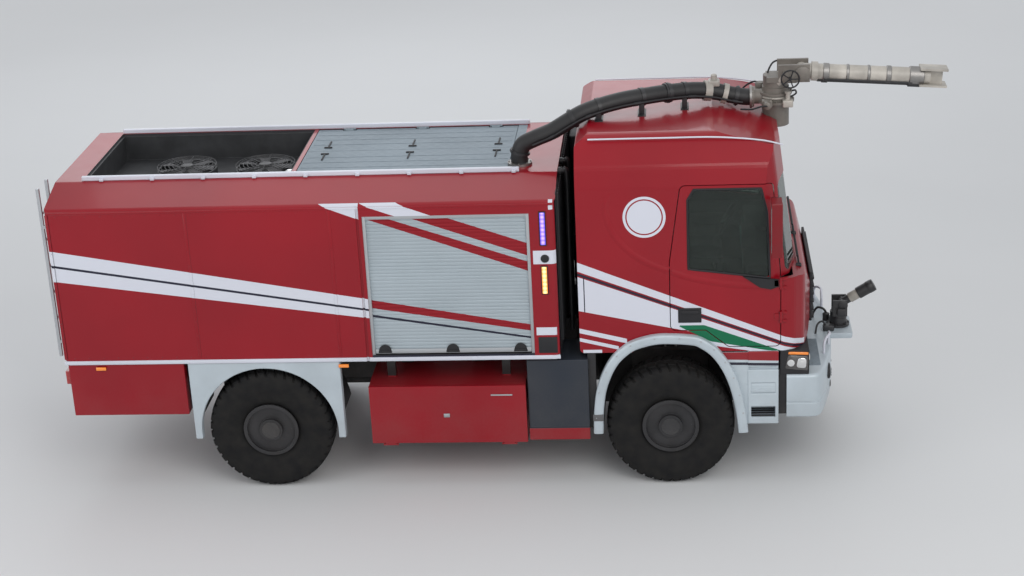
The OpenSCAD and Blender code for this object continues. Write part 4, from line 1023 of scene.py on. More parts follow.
class RoofOperator(bpy.types.Operator):
    """Make the lids' latches and ribs, the fans and their guards, the rail feet, the well lamp and the pipes"""

    bl_idname = "firetruck.roof"
    bl_label = "Roof fittings"

    def execute(self, context):
        for name, side in HANDS:
            parts = []
            for x in (-1.73, -0.88, -0.02):
                parts += [
                    block((x - 0.008, side * 0.1, 3.098), (x + 0.008, side * 0.3, 3.108), 0.003),
                    block((x - 0.04, side * 0.09, 3.098), (x + 0.04, side * 0.115, 3.11)),
                ]
            piece("lid_latches_" + name, parts, "black", "roof_lid_" + name)
            ribs = [
                block((-1.9, side * y, 3.0978), (0.11, side * (y + 0.012), 3.1005), 0.001)
                for y in (0.2, 0.36, 0.52, 0.67)
            ]
            piece("lid_ribs_" + name, ribs, "deck", "roof_lid_" + name)
        guards, blades = [], []
        for x in (-2.36, -3.16):
            guards += [
                ring(r, 0.0035, (x, 0, 2.985), "Z", 40, 6) for r in (0.06, 0.1, 0.14, 0.18, 0.22, 0.26, 0.295)
            ]
            spoke = tube([(x + 0.03, 0, 2.98), (x + 0.3, 0, 2.98)], 0.005, 8, (0, 0, 1))
            guards += [
                turns_about(spoke, "Z", range(0, 360, 45), (x, 0, 0)),
                lathe([(0.065, 0), (0.065, 0.02), (0.05, 0.028)], (x, 0, 2.962), "Z", 24),
            ]
            blades += [turns_about(moved(fan_blade(), (x, 0, 0)), "Z", range(0, 360, 51), (x, 0, 0))]
        piece("fan_guards", guards, "dark", smooth=50, slot="frame_paint")
        piece("fan_blades", blades, "grey", smooth=50, slot="frame_paint")
        feet = [block((x - 0.02, -0.815, 3.1), (x + 0.02, -0.785, 3.125), 0.003) for x in np.arange(-3.8, 0.3, 0.5)]
        piece("rail_feet", both(*feet), "white")
        dome = lathe(
            [(0.07, 0), (0.07, 0.02), (0.066, 0.05), (0.05, 0.08), (0.025, 0.095), (0.003, 0.099)],
            (-2.03, -0.42, 2.957), "Z", 32,
        )
        piece("well_lamp", dome, "chrome", smooth=60, slot="lamp_red")
        pipes = []
        for y, z in ((-0.66, 3.06), (-0.5, 3.0), (-0.36, 3.06)):
            path = ((0.6, z), (0.66, z), (0.69, z - 0.05), (0.69, 2.3), (0.69, 1.55), (0.69, 1.42))
            pipes += [
                bent_tube([(x, y, level) for x, level in path], 40, 0.024, 14),
                lathe([(0.036, 0), (0.036, 0.03)], (0.61, y, z), "X", 20),
            ]
        piece("front_pipes", pipes, "dark", smooth=50, slot="black_plastic")
        return {"FINISHED"}


class BodyTrimOperator(bpy.types.Operator):
    """Make the body's seams, rivets, sill trim, lamp holders, flap locks, rear fittings and ladder treads"""

    bl_idname = "firetruck.body_trim"
    bl_label = "Body trim"

    def execute(self, context):
        trim = together(
            block((-4.255, -1.281, 1.375), (-1.27, -1.272, 1.41), 0.003),
            block((-1.24, -1.281, 1.375), (0.605, -1.272, 1.41), 0.003),
        )
        piece("sill_trim", both(trim), "white")
        seams = together(
            block((-4.24, -1.2785, 2.926), (0.595, -1.273, 2.948), 0.0025),
            block((-2.915, -1.2782, 1.43), (-2.885, -1.273, 2.925), 0.0025),
            block((-1.535, -1.2782, 1.43), (-1.505, -1.273, 2.925), 0.0025),
            block((-4.25, -1.2782, 1.43), (-4.22, -1.273, 2.925), 0.0025),
        )
        piece("side_seams", both(seams), "body")
        rivet = lathe([(0.0075, 0), (0.0065, -0.002), (0.003, -0.0032)], (0, 0, 0), "Y", 10)
        along = [(x, -1.2748, z) for z in (1.44, 2.905) for x in np.arange(-4.15, -1.3, 0.145)]
        upright = [(x, -1.278, z) for x in (-2.9, -1.52, -4.235) for z in np.arange(1.52, 2.9, 0.145)]
        piece("side_rivets", both(at_places(rivet, along + upright)), "body", smooth=50)
        rear = together(
            block((-4.264, -0.9, 2.835), (-4.256, 0.9, 2.855), 0.003),
            *[lathe([(0.05, 0), (0.05, -0.008), (0.04, -0.012)], (-4.259, 1.06, z), "X", 28) for z in (2.7, 2.55)],
            block((-4.236, -0.2, 0.99), (-4.226, 0.2, 1.07), 0.003),
        )
        piece("rear_trims", rear, "black")
        piece("rear_plate", block((-4.2395, 0.3, 0.925), (-4.2305, 0.82, 1.04), 0.003, 0.01), "white")
        high = [block((-4.268, y - 0.07, 2.9), (-4.256, y + 0.07, 2.94)) for y in (-0.6, 0.6)]
        reflectors = [block((-4.2665, y - 0.05, 1.43), (-4.256, y + 0.05, 1.47)) for y in (-1.1, 1.1)]
        piece("rear_high_lamps", together(*high, *reflectors), "tail")
        bar = [
            (-4.258, 1.16, 2.35), (-4.3, 1.16, 2.33), (-4.311, 1.16, 2.2),
            (-4.311, 1.16, 1.8), (-4.3, 1.16, 1.67), (-4.258, 1.16, 1.65),
        ]
        piece("rear_grab_rail", bent_tube(bar, 40, 0.014, 14), "bare", smooth=60)
        hook = together(
            block((-4.13, -0.13, 0.72), (-4.1, 0.13, 0.9), 0.006),
            tube([(-4.13, 0, 0.81), (-4.21, 0, 0.81)], 0.035, 20),
            ring(0.05, 0.016, (-4.2, 0, 0.81), "Y", 32, 10),
        )
        piece("rear_coupling", hook, "dark", smooth=45, slot="frame_paint")
        holders = together(
            block((0.452, -1.286, 2.53), (0.518, -1.272, 2.87)),
            block((0.452, -1.286, 2.04), (0.518, -1.272, 2.33)),
            lathe([(0.04, 0), (0.04, -0.006), (0.032, -0.008)], (0.495, -1.2745, 2.4), "Y", 24),
            block((0.4, -1.28, 1.435), (0.58, -1.272, 1.6)),
        )
        piece("lamp_holders", both(holders), "black")
        for name, side in HANDS:
            lock = together(
                block((-0.56, side * 1.262, 0.76), (-0.5, side * 1.268, 0.8)),
                lathe(
                    [(0.016, 0), (0.016, side * 0.006), (0.012, side * 0.008)], (-0.53, side * 1.264, 0.78), "Y", 20
                ),
                block((-0.09, side * 1.26, 0.985), (0.12, side * 1.268, 1.0), 0.003),
            )
            piece("flap_lock_" + name, lock, "bare", "locker_flap_" + name)
        treads = [block((-4.33, -1.16, 1.545 + 0.27 * i), (-4.3, -0.9, 1.556 + 0.27 * i), 0.003) for i in range(6)]
        piece("ladder_treads", treads, "bare")
        return {"FINISHED"}


# Cab


def door_outline(inset):
    """Corners of the window in X and Z, moved inwards."""
    corners = np.array([(1.83, 2.24), (2.595, 2.14), (2.57, 2.79), (2.515, 3.02), (1.89, 3.02), (1.83, 2.92)])
    middle = corners.mean(0)
    return middle + (corners - middle) * (1 - inset / np.linalg.norm(corners - middle, axis=1))[:, None]


def side_y(z):
    """How far the cab's side is from the middle at a height."""
    return np.interp(z, [1.4, 2.19, 3.04, 3.23], [1.21, 1.21, 1.176, 1.132])


# Middle line of the crease in X and Z, on the cab's side and then on the door
CREASE_CAB = (
    (1.13, 3.02), (1.075, 2.9), (1.08, 2.76), (1.13, 2.62), (1.22, 2.49), (1.34, 2.38), (1.48, 2.295),
    (1.645, 2.225),
)
CREASE_DOOR = ((1.672, 2.216), (1.85, 2.155), (2.1, 2.1), (2.38, 2.065), (2.68, 2.05))


def crease(points, side, fading):
    """A pressed crease: a raised cosine swell across a line on the cab's side, carried along the line. It fades
    out towards the line's first station for a fading of 1, and towards its last one for -1."""
    line = smooth_path(points, 60)
    e = np.linspace(-0.045, 0.045, 13)
    swell = 0.0085 * np.cos(e / 0.09 * math.pi) ** 2
    run = np.gradient(line, axis=0)
    across = np.stack([-run[:, 1], run[:, 0]], -1) / np.linalg.norm(run, axis=1)[:, None]
    fade = np.clip(np.arange(60)[::fading] / 8, 0.08, 1)[:, None]
    flat = line[:, None] + across[:, None] * e[None, :, None]
    skin = side_y(flat[..., 1]) - 0.0012
    top = np.stack([flat[..., 0], side * (skin + swell * fade), flat[..., 1]], -1)
    under = np.stack([flat[..., 0], side * (skin - 0.006), flat[..., 1]], -1)[:, ::-1]
    return grid(np.concatenate([top, under[:, 1:-1]], 1))


class CabTrimOperator(bpy.types.Operator):
    """Make the cab's window seals, door handles and linings, mirror feet and glass, creases, gutters and wipers"""

    bl_idname = "firetruck.cab_trim"
    bl_label = "Cab trim"

    def execute(self, context):
        for name, side in HANDS:
            body = "door_" + name
            line = door_outline(0.004)
            path = np.stack([line[:, 0], side * side_y(line[:, 1]), line[:, 1]], -1)
            dense = np.concatenate([np.linspace(path[i], path[(i + 1) % 6], 12, endpoint=False) for i in range(6)])
            seal = tube(dense, 0.011, 8, closed=True)
            piece("window_seal_" + name, seal, "black", body, smooth=60)
            handle = together(
                block((1.73, side * 1.206, 1.7), (1.95, side * 1.219, 1.85), 0.006, 0.02),
                block((1.75, side * 1.216, 1.79), (1.93, side * 1.238, 1.83), 0.01),
            )
            piece("door_handle_" + name, handle, "black", body)
            piece("door_crease_" + name, crease(CREASE_DOOR, side, -1), "cab", body, smooth=60)
            corner = [(2.34, 2.166), (2.5, 2.145), (2.672, 2.128), (2.676, 2.06), (2.6, 2.03), (2.5, 2.05)]
            foot = plate(corner, side * 1.207, side * 1.222, "Y", 0.003)
            piece("mirror_foot_" + name, foot, "black", body)
            grip = [(2.3, 1.13, 2.03), (2.32, 1.1, 2.05), (2.5, 1.1, 2.05), (2.52, 1.13, 2.03)]
            lining = together(
                block((1.74, side * 1.132, 1.68), (2.64, side * 1.158, 2.1), 0.01, 0.03),
                block((1.85, side * 1.08, 1.93), (2.45, side * 1.135, 1.99), 0.02),
                block((1.9, side * 1.1, 1.72), (2.5, side * 1.133, 1.84), 0.012),
                bent_tube([(x, side * y, z) for x, y, z in grip], 20, 0.009, 10, (0, 0, 1)),
            )
            piece("door_lining_" + name, lining, "grey", body)
            silver = block((2.5925, side * 1.345, 2.5), (2.5955, side * 1.505, 2.93), 0.001, 0.02)
            piece("mirror_glass_" + name, silver, "mirror", body)
        creases = [crease(CREASE_CAB, side, 1) for name, side in HANDS]
        piece("cab_creases", creases, "cab", smooth=60)
        gutter = [
            (0.92, -1.02, 3.475), (1.6, -1.02, 3.475), (2.1, -1.02, 3.472), (2.5, -1.0, 3.43), (2.72, -0.97, 3.37)
        ]
        piece("roof_gutters", both(bent_tube(gutter, 40, 0.008, 8, (0, 0, 1))), "white", smooth=60)
        wipers = []
        for y in (-0.86, 0.02):
            foot, tip = np.array([2.885, y, 2.13]), np.array([2.876, y + 0.42, 2.2])
            wipers += [tube(np.linspace(foot, tip, 8), 0.009, 10, (1, 0, 0))]
            for back, radius in ((0.0, 0.008), (0.009, 0.006)):
                blade = np.linspace(tip + (-back, -0.36, 0.0), tip + (-0.006 - back, 0.34, 0.05), 12)
                wipers += [tube(blade, radius, 8, (1, 0, 0))]
            wipers += [lathe([(0.024, -0.03), (0.024, 0.015), (0.012, 0.022)], foot, "X", 16)]
        piece("wipers", wipers, "black", smooth=50)
        return {"FINISHED"}


class LampsOperator(bpy.types.Operator):
    """Make the headlamps' bowls, lenses and side panes, the turn lamps, side markers and tail lamps"""

    bl_idname = "firetruck.lamps"
    bl_label = "Lamps"

    def execute(self, context):
        places = (-1.12, -0.98, -0.84)
        bowl = [(0.056, 0), (0.058, 0.012), (0.048, 0.014), (0.035, 0.006), (0.012, 0.004)]
        bowls = [lathe(bowl, (2.955, y, 1.29), "X", 32) for y in places]
        cover = [(0.046, 0.0), (0.042, 0.008), (0.02, 0.014), (0.004, 0.015)]
        glasses = [lathe(cover, (2.962, y, 1.29), "X", 32) for y in places]
        outline = smooth_corners([(2.735, 1.21), (2.952, 1.185), (2.956, 1.338), (2.765, 1.352)], 0.025)
        corner = plate(outline, -1.2165, -1.2, "Y", 0.004)
        inner = smooth_corners([(2.84, 1.222), (2.935, 1.212), (2.94, 1.318), (2.86, 1.322)], 0.03)
        bowls += [
            plate(inner, -1.219, -1.21, "Y", 0.003),
            lathe([(0.036, 0), (0.034, -0.004), (0.024, -0.006), (0.01, -0.0065)], (2.792, -1.2165, 1.27), "Y", 28),
        ]
        outline = smooth_corners([(2.765, 1.36), (2.956, 1.35), (2.956, 1.378), (2.77, 1.384)], 0.008)
        ends = plate(outline, -1.2175, -1.2, "Y", 0.003)
        piece("headlamp_bowls", both(*bowls), "chrome", smooth=50)
        piece("headlamp_lenses", both(*glasses), "bright", smooth=50)
        piece("headlamp_sides", both(corner), "smoked", smooth=50)
        piece("turn_lamps", both(ends), "amber", smooth=50)
        markers = [block((x - 0.05, -1.283, 1.31), (x + 0.05, -1.272, 1.345)) for x in (-3.9, -1.5)]
        piece("side_markers", both(*markers), "amber")
        rings = [ring(0.046, 0.004, (-4.2845, y, 1.21), "X", 32, 8) for y in (-1.15, -1.04)]
        piece("tail_rings", both(*rings), "black", smooth=60)
        for name, y, hue in (("tail_domes", -1.15, "tail"), ("turn_domes", -1.04, "amber")):
            dome = lathe([(0.043, 0), (0.04, -0.008), (0.02, -0.014), (0.004, -0.015)], (-4.282, y, 1.21), "X", 32)
            piece(name, both(dome), hue, smooth=60)
        return {"FINISHED"}


# Seats


def inflate(obj, settings):
    """Swells a closed mesh as cloth with pressure inside, and caps how far each point moves."""
    rest = np.empty(len(obj.data.vertices) * 3, np.float32)
    obj.data.vertices.foreach_get("co", rest)
    cloth = obj.modifiers.new("cloth", "CLOTH")
    cloth.settings.quality = 5
    cloth.settings.mass = 0.3
    cloth.settings.use_pressure = True
    cloth.settings.uniform_pressure_force = settings.pressure
    cloth.settings.effector_weights.gravity = 0
    cloth.point_cache.frame_start, cloth.point_cache.frame_end = 1, 20
    scene = bpy.context.scene
    for number in range(1, 21):
        scene.frame_set(number)
    swollen = np.empty_like(rest)
    evaluated = obj.evaluated_get(bpy.context.evaluated_depsgraph_get())
    evaluated.data.vertices.foreach_get("co", swollen)
    obj.modifiers.clear()
    scene.frame_set(1)
    step = (swollen - rest).reshape(-1, 3)
    far = np.linalg.norm(step, axis=1)[:, None]
    step *= np.minimum(1, settings.cap / np.maximum(far, 1e-9))
    obj.data.vertices.foreach_set("co", (rest.reshape(-1, 3) + step).ravel())
    obj.data.update()


def cushion_arrays(shape, settings, channels):
    """Remeshes a cushion evenly, inflates it, then sinks its sewn channels: each is a Gaussian valley across
    the seat in the given direction. Returns the shape's arrays."""
    obj = piece("cushion_maker", shape, "cloth", smooth=0)
    remesh = obj.modifiers.new("even", "REMESH")
    remesh.mode, remesh.voxel_size = "VOXEL", settings.voxel
    evaluated = obj.evaluated_get(bpy.context.evaluated_depsgraph_get())
    mesh = bpy.data.meshes.new_from_object(evaluated)
    obj.modifiers.clear()
    old, obj.data = obj.data, mesh
    bpy.data.meshes.remove(old)
    inflate(obj, settings)
    mesh = obj.data
    points = np.empty(len(mesh.vertices) * 3)
    mesh.vertices.foreach_get("co", points)
    points = points.reshape(-1, 3)
    middle = points.mean(0)
    for axis, place in channels:
        depth = 0.007 * np.exp(-(((points[:, axis] - place) / 0.006) ** 2))
        inward = middle - points
        inward[:, axis] = 0
        inward /= np.maximum(np.linalg.norm(inward, axis=1), 0.05)[:, None]
        points += inward * depth[:, None]
    loops = np.empty(len(mesh.loops), int)
    mesh.loops.foreach_get("vertex_index", loops)
    sizes = np.empty(len(mesh.polygons), int)
    mesh.polygons.foreach_get("loop_total", sizes)
    bpy.data.objects.remove(obj)
    return points, loops, sizes


class SeatsOperator(bpy.types.Operator):
    """Make the five seats: padded cushions, backs and headrests on pedestals"""

    bl_idname = "firetruck.seats"
    bl_label = "Seats"

    def execute(self, context):
        settings = context.scene.truck_seats
        sewn = [(1, -0.13), (1, 0.13)]
        base = block((-0.232, -0.222, 0.272), (0.236, 0.222, 0.376), 0.035, 0.06)
        base = cushion_arrays(base, settings, [*sewn, (0, 0.12)])
        back = block((0.016, -0.214, 0.02), (0.096, 0.214, 0.62), 0.034, 0.04)
        back = cushion_arrays(back, settings, [*sewn, (2, 0.3)])
        head = cushion_arrays(block((0.026, -0.116, 0.665), (0.086, 0.116, 0.806), 0.026, 0.03), settings, [])
        posts = at_places(tube([(0.056, 0, 0.6), (0.056, 0, 0.7)], 0.006, 8), [(0, -0.06, 0), (0, 0.06, 0)])
        upper, posts = [moved(turned(part, "Y", -10), (-0.25, 0, 0.39)) for part in (together(back, head), posts)]
        foot = together(
            block((-0.16, -0.16, 0.0), (0.16, 0.16, 0.02)),
            block((-0.12, -0.12, 0.02), (0.12, 0.12, 0.22), 0.02),
            block((-0.2, -0.2, 0.22), (0.2, 0.2, 0.268), 0.01),
        )
        places = [(AXLE_X + dx, y, 1.45) for dx, y in SEAT_PLACES]
        for number, place in enumerate(places):
            padding = moved(together(base, upper), place)
            obj = piece(f"seat_{number}", padding, "cloth", smooth=60, instead_of=["seats"])
        piece("seat_feet", at_places(together(foot, posts), places), "grey")
        return {"FINISHED"}


# Water


def flange(centre, axis, radius, thick, bolts, size=0.01):
    """A flat ring with a ring of bolts on it."""
    plate_ring = lathe([(radius, -thick / 2), (radius, thick / 2)], centre, axis, 36)
    k = "XYZ".index(axis)
    angle = np.arange(bolts) * 2 * math.pi / bolts
    places = np.zeros((bolts, 3)) + centre
    places[:, (k + 1) % 3] += (radius - 1.4 * size) * np.cos(angle)
    places[:, (k + 2) % 3] += (radius - 1.4 * size) * np.sin(angle)
    places[:, k] += thick / 2
    return together(plate_ring, at_places(bolt(size, size, axis), places))


# Middle line of the feed pipe, from the roof deck forwards to the roof monitor
FEED_LINE = (
    (0.24, -0.54, 3.1), (0.24, -0.54, 3.19), (0.28, -0.54, 3.29), (0.4, -0.53, 3.35), (0.56, -0.51, 3.41),
    (0.72, -0.49, 3.5), (0.86, -0.46, 3.57), (1.04, -0.41, 3.62), (1.24, -0.34, 3.65), (1.45, -0.26, 3.66),
    (1.67, -0.16, 3.66), (1.9, -0.07, 3.65), (2.11, -0.015, 3.62), (2.26, 0.0, 3.58), (2.4, 0.0, 3.555), (
        2.47, 0.0, 3.555
    ),
)
FEED_RADIUS = 0.082


class FeedPipeOperator(bpy.types.Operator):
    """Make the feed pipe to the roof monitor, with its couplings, saddles and the small hoses beside it"""

    bl_idname = "firetruck.feed_pipe"
    bl_label = "Feed pipe"

    def execute(self, context):
        line = smooth_path(FEED_LINE, 181)
        piece("feed_pipe", tube(line, FEED_RADIUS, 36), "hose", smooth=60, instead_of=["roof_pipe"])
        collars, clamps, saddles = [], [], []
        for at in (14, 62, 118, 160):
            collars += [
                tube(line[at : at + 4], FEED_RADIUS + 0.012, 36),
                tube(line[at + 1 : at + 3], FEED_RADIUS + 0.018, 36),
            ]
        for at in (138, 150):
            clamps += [tube(line[at : at + 5], FEED_RADIUS + 0.016, 36)]
        x, y, z = line[144]
        clamps += [
            block((x - 0.055, y - 0.06, z + 0.06), (x + 0.055, y + 0.06, z + 0.115), 0.012),
            lathe([(0.03, 0), (0.03, 0.05), (0.022, 0.06)], (x, y, z + 0.11), "Z", 24),
        ]
        for at in (82, 106, 128):
            x, y, z = line[at]
            saddles += [
                tube(line[at - 1 : at + 2], FEED_RADIUS + 0.007, 36),
                block((x - 0.04, y - 0.13, 3.496), (x + 0.04, y + 0.13, 3.504), 0.003),
            ]
            for side in (-1, 1):
                across = y + side * 0.075
                saddles += [
                    block((x - 0.025, across - 0.006, 3.5), (x + 0.025, across + 0.006, z - 0.02), 0.003),
                    moved(bolt(0.01, 0.008, "Z"), (x, y + side * 0.11, 3.504)),
                ]
        piece("feed_collars", collars, "dark", smooth=35)
        piece("feed_clamps", clamps, "pale", smooth=35)
        piece("feed_saddles", saddles, "dark", smooth=35)
        rings = [
            flange((0.24, -0.54, 3.112), "Z", 0.118, 0.022, 8), flange((2.462, 0, 3.555), "X", 0.112, 0.022, 8)
        ]
        piece("pipe_flanges", rings, "steel", smooth=35)
        hoses = []
        for offset, lift, radius in ((0.115, 0.0, 0.014), (-0.11, -0.03, 0.011)):
            beside = line[34:168:4] + (0, offset, lift)
            hoses += [tube(beside, radius)]
            hoses += [tube(beside[i : i + 2], radius + 0.005) for i in range(3, 32, 7)]
        piece("feed_hoses", hoses, "black", smooth=60)
        return {"FINISHED"}


class MonitorsOperator(bpy.types.Operator):
    """Make the fittings of the roof monitor and the bumper monitor"""

    bl_idname = "firetruck.monitors"
    bl_label = "Water monitors"

    def execute(self, context):
        self.roof_base()
        self.roof_swivel()
        self.roof_barrel()
        self.bumper()
        return {"FINISHED"}

    def roof_base(self):
        drum = [(0.045, 0), (0.05, 0.01), (0.05, 0.1), (0.04, 0.115)]
        parts = [
            flange((2.7, 0, 3.52), "Z", 0.18, 0.022, 12),
            flange((2.7, 0, 3.6), "Z", 0.158, 0.022, 10),
            block((2.5, 0.1, 3.5), (2.63, 0.21, 3.6), 0.012),
            lathe(drum, (2.56, 0.155, 3.54), "Z", 24),
            block((2.56, -0.22, 3.5), (2.66, -0.14, 3.57), 0.01),
            lathe([(0.03, 0), (0.036, -0.02), (0.036, -0.1), (0.02, -0.11)], (2.61, -0.2, 3.54), "Y", 24),
            lathe([(0.03, 0), (0.034, 0.02), (0.034, 0.16), (0.024, 0.17)], (2.7, 0.2, 3.545), "X", 24),
        ]
        pale = [
            ring(0.135, 0.012, (2.7, 0, 3.565), "Z", 48, 10),
            block((2.76, -0.2, 3.49), (2.86, -0.11, 3.56), 0.012),
            lathe([(0.022, 0), (0.022, 0.06), (0.03, 0.065), (0.03, 0.08)], (2.81, -0.155, 3.56), "Z", 18),
        ]
        wires = [
            [(2.56, 0.155, 3.64), (2.5, 0.19, 3.65), (2.42, 0.22, 3.6), (2.34, 0.2, 3.53), (2.25, 0.18, 3.5)],
            [(2.61, -0.3, 3.54), (2.55, -0.34, 3.55), (2.46, -0.32, 3.52), (2.36, -0.24, 3.5)],
            [(2.87, 0.2, 3.545), (2.9, 0.16, 3.56), (2.9, 0.08, 3.55), (2.84, 0.03, 3.53)],
        ]
        piece("roof_monitor_gear", parts, "monitor", smooth=35)
        piece("roof_monitor_boxes", pale, "pale", smooth=35)
        cables = [bent_tube(wire, 28, 0.009, 10) for wire in wires]
        piece("roof_monitor_cables", cables, "black", smooth=60)

    def roof_swivel(self):
        wheel = [
            ring(0.085, 0.008, (2.83, -0.21, 3.775), "Y", 40, 8),
            turns_about(
                tube([(2.83, -0.21, 3.775), (2.915, -0.21, 3.775)], 0.006, 8, (0, 0, 1)), "Y", range(0, 360, 72), (
                    2.83, 0, 3.775
                )
            ),
            tube([(2.83, -0.12, 3.775), (2.83, -0.22, 3.775)], 0.014, 14, (0, 0, 1)),
        ]
        drive = [
            block((2.76, -0.165, 3.72), (2.9, -0.11, 3.83), 0.012),
            lathe([(0.03, 0), (0.045, 0.012), (0.045, 0.11), (0.03, 0.125)], (2.79, 0.165, 3.7), "Z", 24),
            block((2.76, 0.115, 3.69), (2.88, 0.155, 3.78), 0.01),
            lathe([(0.075, 0), (0.075, 0.02), (0.05, 0.03), (0.02, 0.032)], (2.95, 0.122, 3.8), "Y", 32),
            lathe([(0.075, 0), (0.075, -0.02), (0.05, -0.03), (0.02, -0.032)], (2.95, -0.122, 3.8), "Y", 32),
        ]
        for side in (1, -1):
            one = moved(bolt(0.009, 0.008, "Y", side), (3.008, side * 0.142, 3.8))
            drive += [turns_about(one, "Y", range(0, 360, 60), BARREL_PIVOT)]
        elbows = [
            bent_tube(
                [(2.72, y, 3.68), (2.74, 1.3 * y, 3.74), (2.82, 1.5 * y, 3.8), (2.93, 1.35 * y, 3.805)], 30, 0.036,
                18,
            )
            for y in (-0.075, 0.075)
        ]
        cable = [
            (2.79, 0.165, 3.82), (2.75, 0.17, 3.86), (2.68, 0.13, 3.85), (2.63, 0.06, 3.78), (2.62, 0.04, 3.69)
        ]
        cable = bent_tube(cable, 30, 0.009, 10)
        piece("roof_monitor_drive", drive, "monitor", "roof_monitor_swivel", smooth=35)
        piece("roof_monitor_elbows", elbows, "pale", "roof_monitor_swivel", smooth=50)
        piece(
            "roof_monitor_wheel", together(*wheel, cable), "black", "roof_monitor_swivel", smooth=50,
            slot="monitor_black",
        )

    def roof_barrel(self):
        collars = [
            (0.2, 0.06, 0.077), (0.42, 0.03, 0.0755), (0.62, 0.03, 0.0755), (0.8, 0.05, 0.077), (1.02, 0.14, 0.081)
        ]
        rings = [
            lathe([(r, 0), (r + 0.006, 0.006), (r + 0.006, w - 0.006), (r, w)], (2.95 + a, 0, 3.8), "X", 36)
            for a, w, r in collars
        ]
        under = [
            tube([(3.1, 0, 3.712), (4.02, 0, 3.712)], 0.014, 12),
            block((3.96, -0.03, 3.69), (4.08, 0.03, 3.73), 0.008),
            block((3.14, -0.025, 3.695), (3.2, 0.025, 3.74), 0.006),
            tube([(3.16, -0.06, 3.74), (4.0, -0.06, 3.74)], 0.008, 10),
        ]
        piece(
            "roof_barrel_rings", turned(together(*rings), "Y", 4, BARREL_PIVOT), "steel", "roof_monitor_barrel",
            smooth=35,
        )
        piece(
            "roof_barrel_rods", turned(together(*under), "Y", 4, BARREL_PIVOT), "dark", "roof_monitor_barrel",
            smooth=35,
        )

    def bumper(self):
        tip = [(0.05, 0), (0.055, 0.012), (0.058, 0.05), (0.063, 0.06), (0.063, 0.11), (0.055, 0.12)]
        tip = lathe(tip, (3.605, 0, 1.39), "X", 36)
        stem = lathe([(0.046, 0), (0.05, 0.008), (0.05, 0.15), (0.046, 0.158)], (3.452, 0, 1.39), "X", 32)
        piece("bumper_nozzle_tip", turned(tip, "Y", -31, NOZZLE_PIVOT), "dark", "bumper_monitor_nozzle", smooth=40)
        piece(
            "bumper_nozzle_stem", turned(stem, "Y", -31, NOZZLE_PIVOT), "pale", "bumper_monitor_nozzle", smooth=40
        )
        drive = [
            block((3.31, -0.125, 1.29), (3.4, -0.085, 1.36), 0.01),
            lathe([(0.03, 0), (0.034, 0.01), (0.034, 0.09), (0.02, 0.1)], (3.345, 0.115, 1.28), "Z", 22),
            lathe([(0.05, 0), (0.05, 0.012), (0.03, 0.02)], (3.37, 0.082, 1.39), "Y", 28),
            lathe([(0.05, 0), (0.05, -0.012), (0.03, -0.02)], (3.37, -0.082, 1.39), "Y", 28),
        ]
        piece("bumper_monitor_drive", drive, "dark", "bumper_monitor_swivel", smooth=35)
        gear = [
            flange((3.33, 0, 1.165), "Z", 0.115, 0.02, 8),
            lathe([(0.035, 0), (0.035, 0.07), (0.02, 0.08)], (3.22, 0.12, 1.15), "Z", 20),
            block((3.17, -0.19, 1.15), (3.28, -0.11, 1.21), 0.012),
            bent_tube(
                [(3.23, 0.12, 1.2), (3.2, 0.13, 1.26), (3.14, 0.16, 1.27), (3.1, 0.2, 1.2), (3.09, 0.21, 1.14)], 28,
                0.012, 12,
            ),
            bent_tube(
                [(3.2, -0.15, 1.2), (3.16, -0.16, 1.25), (3.11, -0.2, 1.23), (3.09, -0.23, 1.14)], 28, 0.01, 12
            ),
        ]
        piece("bumper_monitor_gear", gear, "dark", smooth=35)


# Outer edge of a front arch flare in X and Z about the front axle
FLARE_LINE = (
    (-0.745, -0.05), (-0.735, 0.18), (-0.705, 0.4), (-0.646, 0.58), (-0.565, 0.73), (-0.46, 0.84), (-0.34, 0.915),
    (-0.14, 0.968), (0.05, 0.972), (0.25, 0.952), (0.36, 0.902), (0.46, 0.822), (0.545, 0.71), (0.612, 0.58),
    (0.665, 0.43), (0.702, 0.28), (0.728, 0.12), (0.745, -0.05),
)
FLARE_WIDTH = 0.095


